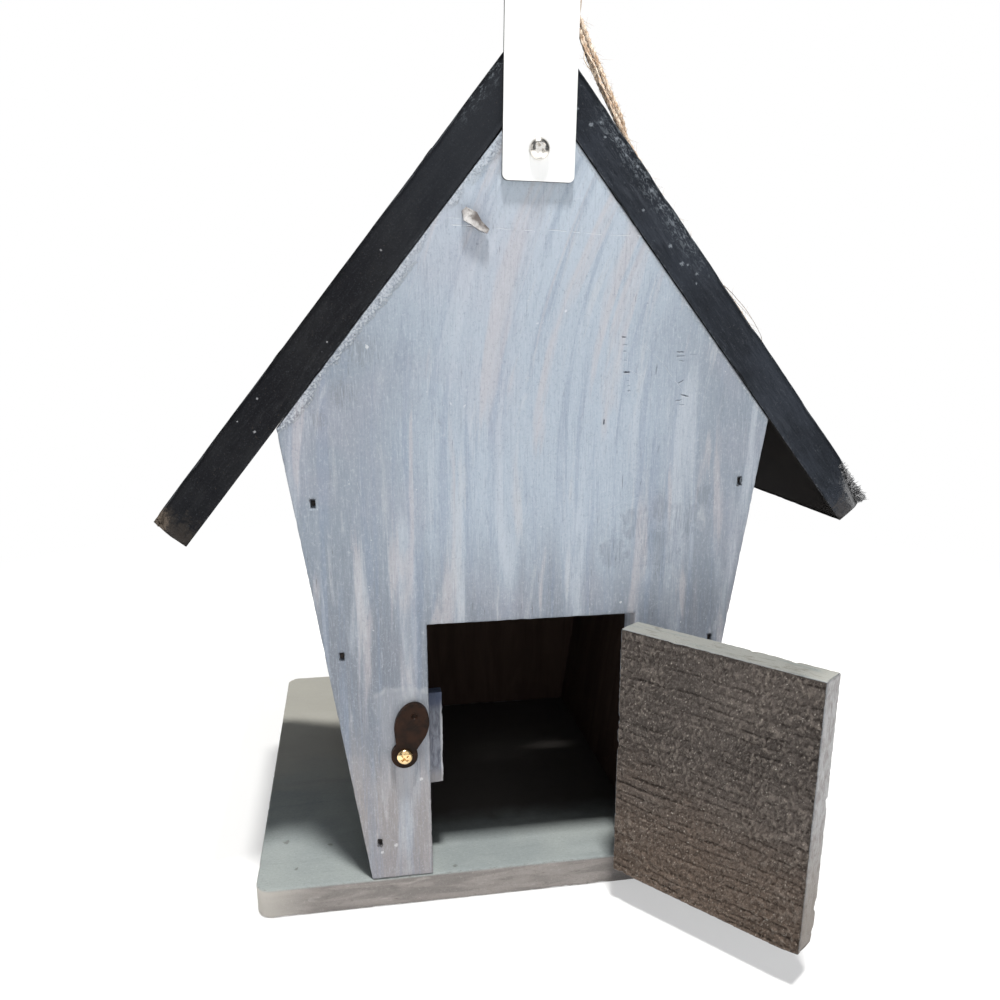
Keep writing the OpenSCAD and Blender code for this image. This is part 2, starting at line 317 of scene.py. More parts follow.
def scratches(m, u, v, lines):
    """Thin broken lines on the plane u, v (mm): (u0, v0, u1, v1, half width, strength)."""
    total = 0.0
    wob = m.mul(m.sub(m.noise((0.08, 0.08, 0.08), 2), 0.5), 1.6)
    gap = m.noise((0.35, 0.35, 0.35), 3, off=(9, 3, 5))
    for k, (u0, v0, u1, v1, w, s) in enumerate(lines):
        du, dv = u1 - u0, v1 - v0
        ln = math.hypot(du, dv)
        du, dv = du / ln, dv / ln
        a = m.sub(u, u0)
        b = m.sub(v, v0)
        along = m.add(m.mul(a, du), m.mul(b, dv))
        off = m.abs(m.add(m.sub(m.mul(b, du), m.mul(a, dv)), wob))
        mask = m.step(off, w, 0.0)
        mask = m.mul(mask, m.step(along, 0.0, 2.0))
        mask = m.mul(mask, m.step(along, ln, ln - 2.0))
        mask = m.mul(mask, m.mul(m.step(gap, 0.38 + 0.03 * (k % 3), 0.55), s))
        total = mask if k == 0 else m.max(total, mask)
    return total


KV = 1.28     # light on upright faces that look to the front
KT = 1.35    # light on flat faces that look up
SLOPE = math.tan(PITCH)


KD = 0.84    # light on the open door's inner face
KF = 1.22     # light on the door's free edge
ROOF_TOP = ROOF_X0 = ROOF_X1 = 0.0


# small nicks in the door face, most of them across the grain
NICKS = ((25.2, 173.4, 0.8, 0.22, 0, 0.8), (25.5, 171.4, 1.0, 0.16, 4, 0.5), (25.6, 169.6, 0.6, 0.16, 0, 0.5),
         (26.0, 167.2, 0.7, 0.15, -5, 0.35), (26.3, 163.9, 1.2, 0.30, -3, 1.0), (26.7, 161.6, 0.5, 0.16, 0, 0.4),
         (27.0, 160.2, 0.7, 0.15, 3, 0.4), (27.2, 158.8, 0.6, 0.18, 0, 0.5), (41.7, 169.3, 1.4, 0.20, 0, 0.8),
         (41.9, 168.2, 1.7, 0.16, 5, 0.6), (42.3, 166.9, 1.1, 0.15, -4, 0.5), (45.6, 168.6, 1.4, 0.13, 0, 0.3),
         (42.4, 161.2, 1.2, 0.20, 32, 0.7), (43.7, 157.3, 1.6, 0.22, -14, 0.9), (41.9, 156.0, 1.4, 0.16, 10, 0.6),
         (43.0, 154.7, 1.0, 0.15, 0, 0.5), (20.2, 150.3, 0.9, 0.30, 88, 0.9), (35.0, 164.6, 1.7, 0.22, 86, 0.5),
         (28.2, 183.6, 1.4, 0.16, 84, 0.35), (36.6, 142.0, 1.3, 0.15, 82, 0.3))


def wall_paint(name, front=False, dark=1.0, tilt=0.0):
    m = Mat(name)
    x, y, z = m.xyz()
    k = KV / dark
    # brush strokes lean to the right towards the top
    up = m.max(m.sub(z, 140.0), 0.0)
    xb = m.sub(x, m.mul(m.mul(up, up), 0.0032)) if front else x
    if tilt:
        # on the leaning side walls the strokes run up the slope of the board
        xb = m.sub(m.abs(x), m.mul(z, tilt))
    bent = m.join(xb, y, z)
    fine = m.noise((3.0, 3.0, 0.22), 5, 0.65, 0.25, vec=bent if tilt else None)
    hair = m.noise((1.5, 1.5, 0.050), 5, 0.62, 0.35, vec=bent if tilt else None, off=(8, 1, 2))
    grain = m.noise((0.30, 0.30, 0.013), 5, 0.60, 0.7, vec=bent, off=(4, 2, 7))
    brush = m.noise((0.13, 0.13, 0.012), 4, 0.55, 0.6, vec=bent, off=(1, 8, 3))
    smear = m.noise((0.22, 0.22, 0.022), 5, 0.62, 0.9, vec=bent, off=(3, 3, 9))
    tan = m.noise((0.16, 0.16, 0.014), 4, 0.55, 0.6, vec=bent, off=(13, 5, 2))
    cloud = m.noise((0.030, 0.030, 0.022), 3, 0.5, off=(6, 1, 2))
    dust = m.noise((2.0, 2.0, 1.6), 5, 0.80, off=(2, 9, 4))
    # painted light and shade: brighter in the upper middle, painted shade to both sides and low down, warm at the foot
    c = m.mix(m.step(m.add(m.abs(x), m.mul(m.sub(cloud, 0.5), 34.0)), 14.0, 60.0),
              tone(178, 190, 204, k), tone(147, 157, 169, k))
    c = m.mix(m.mul(m.step(m.add(z, m.mul(m.sub(brush, 0.5), 30.0)), 165.0, 225.0), 0.75), c, tone(198, 210, 223, k))
    lowz = m.add(z, m.mul(m.sub(brush, 0.5), 45.0))
    c = m.mix(m.mul(m.step(lowz, 128.0, 82.0), 0.9), c, tone(132, 138, 148, k))
    c = m.mix(m.mul(m.step(lowz, 62.0, 34.0), 0.9), c, tone(164, 159, 159, k))
    # strokes: slate, pale, lilac and tan
    c = m.mix(m.mul(m.step(grain, 0.50, 0.66), 0.42), c, tone(140, 154, 175, k))
    c = m.mix(m.mul(m.step(brush, 0.53, 0.68), 0.48), c, tone(200, 207, 217, k))
    c = m.mix(m.mul(m.step(tan, 0.54, 0.66), 0.50), c, tone(200, 194, 197, k))
    c = m.mix(m.mul(m.step(cloud, 0.52, 0.68), 0.22), c, tone(182, 178, 190, k))
    c = m.mix(m.mul(m.step(smear, 0.58, 0.70), 0.42), c, tone(202, 205, 210, k))
    c = m.mix(m.mul(m.step(smear, 0.42, 0.30), 0.32), c, tone(136, 148, 166, k))
    c = m.mix(m.mul(m.step(hair, 0.54, 0.70), 0.22), c, tone(124, 134, 150, k))
    c = m.mix(m.mul(m.step(hair, 0.44, 0.30), 0.16), c, tone(206, 212, 220, k))
    c = m.mix(m.mul(m.step(fine, 0.54, 0.70), 0.26), c, tone(116, 125, 140, k))
    c = m.mix(m.mul(m.step(fine, 0.46, 0.30), 0.28), c, tone(212, 218, 228, k))
    dots = m.noise((1.4, 1.4, 1.0), 5, 0.85, off=(12, 3, 5))
    c = m.mix(m.mul(m.step(dots, 0.54, 0.66), 0.34), c, tone(206, 212, 222, k))
    c = m.mix(m.mul(m.step(dots, 0.46, 0.34), 0.34), c, tone(122, 131, 146, k))
    c = m.mix(m.mul(m.step(dust, 0.56, 0.70), 0.32), c, tone(210, 215, 222, k))
    c = m.mix(m.mul(m.step(dust, 0.44, 0.30), 0.32), c, tone(116, 124, 138, k))
    # fine cracks and open pores with bare wood in them
    pore = m.noise((2.6, 2.6, 0.16), 3, 0.55, off=(2, 5, 1))
    pz = m.step(m.noise((0.05, 0.05, 0.03), 2, 0.5, off=(9, 9, 2)), 0.45, 0.62)
    c = m.mix(m.mul(m.mul(m.step(pore, 0.68, 0.76), pz), 0.75), c, tone(84, 82, 88, k))
    stain = m.noise((0.30, 0.30, 0.20), 4, 0.6, 0.8, off=(7, 7, 7))
    c = m.mix(m.mul(m.step(stain, 0.70, 0.80), 0.45), c, tone(112, 113, 120, k))
    speck = m.noise((0.75, 0.75, 0.60), 2, 0.5, off=(11, 4, 6))
    c = m.mix(m.mul(m.step(speck, 0.765, 0.79), 0.6), c, tone(220, 224, 230, k))
    edge = m.attr("edge")
    chipn = m.noise((0.9, 0.9, 0.55), 5, 0.72, off=(5, 9, 1))
    chip = m.step(m.sub(m.mul(chipn, 3.0), m.mul(edge, 2.2)), 1.3, 1.65)
    c = m.mix(m.mul(chip, 0.28), c, tone(200, 203, 208, k))
    dark2 = m.noise((1.3, 1.3, 0.8), 4, 0.7, off=(1, 2, 14))
    chip2 = m.step(m.sub(m.mul(dark2, 2.4), m.mul(edge, 1.2)), 0.95, 1.25)
    c = m.mix(m.mul(chip2, 0.45), c, tone(98, 97, 102, k))
    height = m.add(m.add(m.mul(fine, 0.5), m.mul(hair, 0.35)), m.add(m.mul(dust, 0.35), m.mul(pore, -0.3)))
    if front:
        # crumbly ridge of paint under the roof boards
        base = m.add(m.mul(z, -1.0), APEX * 1000)
        dl = m.mul(m.add(base, m.mul(x, SLOPE)), math.cos(PITCH))
        dr = m.mul(m.sub(base, m.mul(x, SLOPE)), math.cos(PITCH))
        crumb = m.noise((1.5, 1.5, 1.5), 5, 0.78, 0.2, off=(4, 4, 8))
        band = m.noise((0.06, 0.06, 0.06), 3, 0.6, off=(2, 12, 5))
        wl = m.lerp(m.step(band, 0.38, 0.62), 0.5, 2.8)
        ml = m.mul(m.step(m.sub(dl, m.mul(wl, m.lerp(crumb, 0.2, 1.7))), 0.9, -0.6), m.step(x, 2.0, -6.0))
        mr = m.mul(m.step(m.sub(dr, m.mul(crumb, 2.0)), 0.45, -0.45), m.step(x, -2.0, 6.0))
        both = m.max(m.mul(ml, 0.75), m.mul(mr, 0.6))
        c = m.mix(m.mul(both, m.step(crumb, 0.46, 0.60)), c, tone(214, 219, 226, k))
        c = m.mix(m.mul(m.mul(ml, m.step(crumb, 0.48, 0.36)), 0.8), c, tone(120, 119, 122, k))
        smudge = spots(m, x, z, [(-46.5, 170.0, 4.6), (-52.0, 159.0, 4.0), (-59.0, 152.5, 2.6)], (9, 2, 6))
        c = m.mix(m.mul(m.mul(smudge, m.step(fine, 0.40, 0.56)), 0.30), c, tone(122, 124, 126, k))
        height = m.add(height, m.mul(m.mul(both, crumb), 1.6))
        # painted shadow: a dark line along the panel's top edges where the roof boards shade it
        gap = m.max(m.mul(m.step(dr, 0.85, 0.25), m.step(x, -2.0, 2.0)), m.mul(m.step(dl, 0.45, 0.1), m.step(x, 2.0, -2.0)))
        c = m.mix(m.mul(gap, 0.8), c, tone(44, 45, 50, k))
        # nicks: painted shade inside each dent, and a pale copy just below each one as a painted highlight on its lower
        # lip
        nick = ticks(m, x, z, NICKS)
        pale = ticks(m, x, z, [(a + 0.1, b - 0.38, hl * 0.9, hw, lean, st * 0.6) for a, b, hl, hw, lean, st in NICKS[:16]])
        c = m.mix(m.mul(pale, 0.6), c, tone(214, 219, 226, k))
        c = m.mix(nick, c, tone(62, 68, 80, k))
        height = m.sub(height, m.mul(nick, 0.8))
        dull = spots(m, x, z, [(31.0, 121.0, 6.0), (38.0, 125.0, 5.0), (45.0, 121.0, 6.0), (38.0, 113.0, 7.0),
                               (24.0, 112.0, 5.0), (51.0, 128.0, 4.0)], (9, 12, 6), 0.6)
        c = m.mix(m.mul(m.mul(dull, m.step(fine, 0.44, 0.58)), 0.24), c, tone(108, 116, 126, k))
        c = m.mix(m.mul(m.mul(dull, m.step(smear, 0.40, 0.60)), 0.22), c, tone(124, 132, 142, k))
        # rubbed by the turn button
        hx = m.sub(x, latch.x * 1000)
        hz = m.sub(z, latch.z * 1000)
        rr = m.math("SQRT", m.add(m.mul(hx, hx), m.mul(hz, hz)))
        rn = m.add(rr, m.mul(m.sub(m.noise((0.22, 0.22, 0.22), 3), 0.5), 4.0))
        side = m.mul(m.step(hz, -6.0, 3.0), m.step(m.add(hx, m.mul(hz, 0.15)), -7.5, -3.5))
        disc = m.mul(m.step(rn, 22.2, 20.6), side)
        c = m.mix(m.mul(disc, 0.35), c, tone(178, 181, 187, k))
        ring2 = m.mul(m.mul(m.step(m.abs(m.sub(rn, 20.9)), 1.3, 0.1), side), m.step(smear, 0.38, 0.62))
        c = m.mix(m.mul(ring2, 0.45), c, tone(202, 205, 210, k))
        foot = m.mul(m.step(rr, 20.0, 9.0), m.step(hz, 2.0, -3.0))
        c = m.mix(m.mul(m.mul(foot, m.step(smear, 0.45, 0.6)), 0.5), c, tone(188, 186, 190, k))
        lines = [(-33.0, 201.9, -14.0, 201.0, 0.20, 0.75), (-14.0, 201.0, 3.0, 200.6, 0.13, 0.5),
                 (3.0, 200.6, 31.0, 199.4, 0.16, 0.6), (-25.0, 203.6, -16.0, 202.2, 0.14, 0.4),
                 (2.0, 207.0, 14.0, 208.8, 0.10, 0.3), (12.0, 190.0, 22.0, 176.0, 0.12, 0.3),
                 (31.0, 172.0, 44.0, 158.0, 0.11, 0.35), (20.0, 168.0, 36.0, 160.0, 0.10, 0.25),
                 (-52.0, 150.0, -48.0, 128.0, 0.12, 0.3), (14.0, 122.0, 38.0, 131.0, 0.10, 0.25),
                 (-2.0, 182.0, -10.0, 150.0, 0.12, 0.25), (4.0, 150.0, -4.0, 118.0, 0.12, 0.22)]
        s = scratches(m, x, z, lines)
        c = m.mix(s, c, tone(232, 235, 240, k))
        c = m.mix(m.mul(spots(m, x, z, [(-42.5, 21.6, 0.6), (-34.2, 43.6, 0.6), (-46.9, 19.6, 0.5), (8.6, 180.3, 0.4),
                                        (-45.2, 171.2, 0.6), (27.0, 96.5, 0.5)], (1, 1, 9)), 0.5), c,
                  tone(246, 247, 250, k))
        # painted shade: dark rims round the nail slots, where the slots lie in shade
        rim = None
        for a, b in ((-61.5, 129.7), (-55.9, 84.7), (-47.4, 22.9), (62.2, 132.2), (55.9, 83.4)):
            du = m.mul(m.abs(m.sub(x, a)), 1.7)
            dv = m.abs(m.sub(z, b))
            d = m.add(m.max(du, dv), m.mul(m.sub(m.noise((1.3, 1.3, 0.8), 4, 0.75, off=(a, b, 1)), 0.5), 3.2))
            q = m.step(d, 1.50, 0.95)
            rim = q if rim is None else m.max(rim, q)
        c = m.mix(m.mul(rim, 0.85), c, tone(40, 38, 40, k))
        height = m.sub(height, m.mul(s, 0.7))
    height = m.sub(height, m.mul(chip, 0.6))
    m.set(Base_Color=c, Roughness=m.lerp(fine, 0.52, 0.80), Normal=m.bump(height, 0.30, 1.0))
    m.set(Specular_IOR_Level=0.2)
    return m.m


def stop_paint(name):
    """The scraped strip behind the door: dull blue-grey, a dark smudge at the top, bare right edge."""
    m = Mat(name)
    x, y, z = m.xyz()
    k = 1.0
    fine = m.noise((2.8, 2.8, 0.35), 5, 0.7, 0.4)
    smear = m.noise((0.5, 0.5, 0.16), 5, 0.7, 1.0, off=(3, 7, 2))
    c = m.mix(m.step(smear, 0.36, 0.62), tone(98, 101, 112, k), tone(132, 136, 146, k))
    c = m.mix(m.mul(m.step(fine, 0.54, 0.70), 0.5), c, tone(80, 84, 96, k))
    c = m.mix(m.mul(m.step(fine, 0.45, 0.28), 0.4), c, tone(170, 174, 182, k))
    top = m.step(m.add(z, m.mul(m.sub(smear, 0.5), 8.0)), 60.5, 64.5)
    c = m.mix(m.mul(top, 0.75), c, tone(60, 70, 94, k))
    line = m.step(m.add(x, m.mul(m.sub(fine, 0.5), 0.7)), -27.3, -26.8)
    c = m.mix(m.mul(m.mul(line, m.step(z, 66.0, 58.0)), 0.8), c, tone(196, 198, 202, k))
    low = m.step(m.add(z, m.mul(m.sub(smear, 0.5), 7.0)), 42.5, 38.5)
    c = m.mix(m.mul(low, 0.6), c, tone(150, 146, 146, k))
    m.set(Base_Color=c, Roughness=0.75, Normal=m.bump(m.add(fine, smear), 0.25, 0.9))
    m.set(Specular_IOR_Level=0.15)
    return m.m


def inner_wood_painted_shade(name, k=1.0):
    """Raw board faces inside the house, rough; their dark colour is painted shade for the dim inside."""
    m = Mat(name)
    fine = m.noise((1.1, 1.1, 0.05), 5, 0.6, 0.4)
    big = m.noise((0.12, 0.12, 0.02), 4, 0.55, 0.8, off=(3, 5, 1))
    c = m.mix(m.step(big, 0.35, 0.65), tone(44, 35, 31, k), tone(52, 42, 37, k))
    c = m.mix(m.mul(m.step(fine, 0.5, 0.75), 0.4), c, tone(34, 27, 24, k))
    m.set(Base_Color=c, Roughness=0.9, Normal=m.bump(fine, 0.3, 0.8))
    m.set(Specular_IOR_Level=0.1)
    return m.m


def base_paint(name):
    m = Mat(name)
    x, y, z = m.xyz()
    k = KT
    fine = m.noise((0.8, 2.6, 2.6), 5, 0.75, 0.3)
    grain = m.noise((0.030, 0.26, 0.26), 4, 0.55, 0.6, off=(4, 2, 7))
    brush = m.noise((0.030, 0.07, 0.07), 4, 0.55, 0.6, off=(1, 8, 3))
    cloud = m.noise((0.03, 0.03, 0.03), 3, 0.5, off=(6, 1, 2))
    dust = m.noise((1.3, 1.6, 1.6), 5, 0.85, off=(2, 9, 4))
    c = m.mix(m.step(cloud, 0.38, 0.66), tone(152, 160, 160, k), tone(166, 173, 171, k))
    c = m.mix(m.mul(m.step(brush, 0.5, 0.72), 0.35), c, tone(180, 187, 186, k))
    c = m.mix(m.mul(m.step(grain, 0.54, 0.72), 0.25), c, tone(128, 135, 136, k))
    c = m.mix(m.mul(m.step(fine, 0.54, 0.70), 0.32), c, tone(112, 117, 118, k))
    c = m.mix(m.mul(m.step(fine, 0.46, 0.30), 0.30), c, tone(196, 202, 202, k))
    c = m.mix(m.mul(m.step(dust, 0.55, 0.68), 0.34), c, tone(198, 204, 204, k))
    c = m.mix(m.mul(m.step(dust, 0.45, 0.32), 0.34), c, tone(110, 114, 114, k))
    # painted light: paler and warmer on the left towards the back, where light falls on the base away from the door
    far_left_painted_light = m.mul(m.step(x, -50.0, -60.0), m.step(m.add(y, m.mul(m.sub(brush, 0.5), 50.0)), -45.0, 10.0))
    c = m.mix(m.mul(far_left_painted_light, 0.60), c, tone(192, 186, 174, k))
    # painted shade: inside the house the board is painted dark where the inside lies in shade
    wob = m.mul(m.sub(m.noise((0.10, 0.10, 0.10), 4, 0.6, 0.5, off=(3, 3, 3)), 0.5), 9.0)
    inside_painted_shade = m.mul(m.step(m.add(y, wob), -66.0, -48.0), m.step(m.abs(x), 44.0, 41.0))
    inside_painted_shade = m.mul(inside_painted_shade, m.step(y, 45.0, 42.0))
    c = m.mix(m.mul(inside_painted_shade, 0.90), c, tone(76, 68, 64, k))
    # upright edges are warmer and blotched
    kv = KV
    edges = m.step(z, Z0 * 1000 - 0.2, Z0 * 1000 - 1.1)
    e = m.mix(m.step(m.noise((0.05, 0.3, 0.3), 4, 0.6, 0.6, off=(8, 2, 4)), 0.38, 0.64),
              tone(140, 135, 132, kv), tone(163, 157, 153, kv))
    e = m.mix(m.mul(m.step(m.noise((0.10, 0.35, 0.45), 4, 0.65, 0.8, off=(2, 6, 4)), 0.60, 0.74), 0.45), e,
              tone(194, 189, 184, kv))
    e = m.mix(m.mul(m.step(m.noise((0.16, 0.5, 0.5), 4, 0.65, 0.8, off=(5, 1, 9)), 0.60, 0.74), 0.5), e,
              tone(104, 98, 96, kv))
    e = m.mix(m.mul(m.step(dust, 0.55, 0.68), 0.45), e, tone(198, 193, 189, kv))
    e = m.mix(m.mul(m.step(dust, 0.45, 0.32), 0.45), e, tone(96, 91, 89, kv))
    corner = m.mul(m.step(x, -64.0, -86.0), m.step(y, -60.0, -86.0))
    e = m.mix(m.mul(corner, 0.75), e, tone(206, 202, 195, kv))
    c = m.mix(edges, c, e)
    edge = m.attr("edge")
    chipn = m.noise((0.4, 0.9, 0.9), 5, 0.7, off=(5, 9, 1))
    chip = m.step(m.sub(m.mul(chipn, 3.0), m.mul(edge, 1.3)), 1.1, 1.5)
    c = m.mix(m.mul(chip, 0.22), c, tone(176, 172, 168, KV))
    chip2 = m.step(m.sub(m.mul(m.noise((0.6, 1.3, 1.3), 4, 0.7, off=(1, 2, 14)), 2.3), edge), 0.8, 1.1)
    c = m.mix(m.mul(chip2, 0.5), c, tone(108, 103, 99, KV))
    top_spots = spots(m, x, y, [(-78.0, -60.0, 1.2), (-63.5, -64.0, 0.9), (-74.0, -76.0, 0.8), (-24.0, -83.0, 0.9)], (6, 3, 3))
    c = m.mix(m.mul(m.mul(top_spots, m.sub(1.0, edges)), 0.55), c, tone(96, 96, 92, k))
    height = m.add(m.add(m.mul(fine, 0.5), m.mul(grain, 0.4)), m.mul(dust, 0.5))
    m.set(Base_Color=c, Roughness=m.lerp(fine, 0.6, 0.85), Normal=m.bump(height, 0.22, 0.8))
    m.set(Specular_IOR_Level=0.2)
    return m.m


def roof_paint(name, right):
    """In the board's own place: x down the slope, y along the ridge, z through the thickness."""
    m = Mat(name)
    x, y, z = m.xyz()
    k = KV * 1.35
    fine = m.noise((2.6, 2.6, 2.6), 5, 0.7, 0.2)
    brush = m.noise((0.05, 0.30, 0.30), 5, 0.62, 0.9, off=(2, 6, 1))
    cloud = m.noise((0.06, 0.06, 0.06), 4, 0.55, off=(6, 4, 2))
    lo, hi = ((50, 54, 61), (62, 67, 76)) if right else ((36, 37, 41), (45, 46, 49))
    c = m.mix(m.step(cloud, 0.36, 0.66), tone(*lo, k), tone(*hi, k))
    up = (84, 89, 98) if right else (58, 59, 62)
    c = m.mix(m.mul(m.step(brush, 0.52, 0.74), 0.5), c, tone(*up, k))
    c = m.mix(m.mul(m.step(fine, 0.56, 0.72), 0.45), c, tone(*up, k))
    c = m.mix(m.mul(m.step(fine, 0.44, 0.28), 0.55), c, tone(26, 27, 30, k))
    tick = m.noise((0.25, 0.6, 2.2), 5, 0.75, 0.2, off=(8, 8, 1))
    c = m.mix(m.mul(m.step(tick, 0.52, 0.68), 0.35), c, tone(*up, k))
    c = m.mix(m.mul(m.step(tick, 0.46, 0.32), 0.40), c, tone(24, 25, 28, k))
    speck = m.noise((0.9, 0.9, 0.9), 2, 0.5, off=(2, 13, 3))
    c = m.mix(m.mul(m.step(speck, 0.76, 0.80), 0.45), c, tone(120, 124, 130, k))
    edge = m.attr("edge")
    chipn = m.noise((0.8, 0.8, 0.8), 5, 0.72, off=(5, 9, 1))
    chip = m.step(m.sub(m.mul(chipn, 2.6), edge), 0.95, 1.35)
    c = m.mix(m.mul(chip, 0.40 if right else 0.22), c, tone(128, 132, 138, k))
    # bare, worn ends
    end = m.attr("endgrain")
    scuff = m.noise((0.5, 0.5, 0.5), 5, 0.72, 0.4, off=(7, 1, 5))
    worn = m.mul(m.step(m.add(end, m.mul(m.sub(scuff, 0.5), 1.8)), 0.55, 1.0), 0.7)
    c = m.mix(m.mul(worn, 0.5), c, tone(112, 106, 100, k) if right else tone(96, 88, 80, k))
    fray = m.attr("fray")
    fr = m.step(m.add(fray, m.mul(m.sub(m.noise((1.4, 1.4, 1.4), 5, 0.8, off=(3, 1, 1)), 0.5), 1.6)), 0.14, 0.55)
    c = m.mix(m.mul(fr, 0.8), c, tone(150, 151, 153, k) if right else tone(132, 120, 108, k))
    if right:
        # pale scuffs down the outer edge of the end face
        outer = m.step(z, ROOF_TOP - 6.5, ROOF_TOP - 0.5)
        a = m.mul(m.step(x, ROOF_X0 + 24.0, ROOF_X0 + 34.0), m.step(x, ROOF_X0 + 84.0, ROOF_X0 + 66.0))
        dash = m.noise((0.55, 0.55, 1.6), 5, 0.75, 1.0, off=(1, 3, 12))
        front = m.step(y, YF * 1000 + 6.0, YF * 1000 + 1.5)
        s = m.mul(m.mul(m.mul(outer, a), front), m.step(dash, 0.48, 0.64))
        c = m.mix(m.mul(s, 0.8), c, tone(160, 169, 178, k))
        wide = m.mul(front, m.step(m.noise((0.07, 0.07, 0.07), 3, 0.6, off=(4, 1, 2)), 0.46, 0.62))
        c = m.mix(m.mul(m.mul(wide, m.step(dash, 0.56, 0.70)), 0.4), c, tone(126, 132, 142, k))
        sp = spots(m, x, z, [(ROOF_X0 + q, ROOF_TOP - w, r * 0.85) for q, w, r in (
            (24.3, 6.0, 0.5), (29.4, 5.4, 0.7), (30.6, 3.0, 0.45), (34.0, 4.2, 0.4), (45.0, 1.6, 0.5), (52.0, 2.0, 0.6),
            (54.6, 6.8, 0.45), (57.0, 2.6, 0.5), (66.5, 6.2, 0.65), (72.2, 6.3, 0.7), (73.5, 5.2, 0.4), (77.0, 4.6, 0.5),
            (79.0, 6.2, 0.4), (36.2, 2.0, 0.6), (38.4, 1.4, 0.5), (41.0, 2.4, 0.45))], (3, 8, 2), 3.4)
        c = m.mix(m.mul(m.mul(sp, front), 0.80), c, tone(158, 166, 175, k))
    else:
        front = m.step(y, YF * 1000 + 6.0, YF * 1000 + 1.5)
        sp = spots(m, x, z, [(ROOF_X1 - q, ROOF_TOP - w, r) for q, w, r in (
            (70.0, 5.0, 0.3), (97.0, 8.0, 0.3), (120.0, 2.6, 0.35), (127.5, 7.0, 0.4), (128.0, 2.0, 0.3))])
        c = m.mix(m.mul(m.mul(sp, front), 0.8), c, tone(190, 192, 196, k))
        c = m.mix(m.mul(m.mul(front, m.step(x, ROOF_X1 - 95.0, ROOF_X1 - 20.0)), 0.55), c, tone(62, 66, 73, k))
        c = m.mix(m.mul(m.mul(front, m.step(fine, 0.55, 0.68)), 0.35), c, tone(84, 88, 94, k))
        # scuffed pale beside the ridge, along the outer edge
        dash = m.noise((0.50, 0.50, 1.1), 5, 0.78, 0.8, off=(1, 3, 12))
        near = m.mul(m.step(x, ROOF_X1 - 38.0, ROOF_X1 - 22.0), m.step(z, ROOF_TOP - 4.5, ROOF_TOP - 0.4))
        c = m.mix(m.mul(m.mul(m.mul(near, front), m.step(dash, 0.50, 0.64)), 0.8), c, tone(150, 158, 166, k))
    # underside: painted shade, brown-black on the faces that look down
    under = m.step(m.noise((0.3, 0.05, 0.3), 3, 0.5, off=(5, 5, 5)), 0.3, 0.7)
    u = m.mix(under, tone(22, 16, 15, k * 1.6), tone(32, 24, 21, k * 1.6))
    c = m.mix(m.attr("under"), c, u)
    height = m.add(m.mul(fine, 0.6), m.mul(brush, 0.4))
    m.set(Base_Color=c, Roughness=m.lerp(fine, 0.80, 0.98), Normal=m.bump(height, 0.30, 0.9))
    m.set(Specular_IOR_Level=0.04)
    return m.m


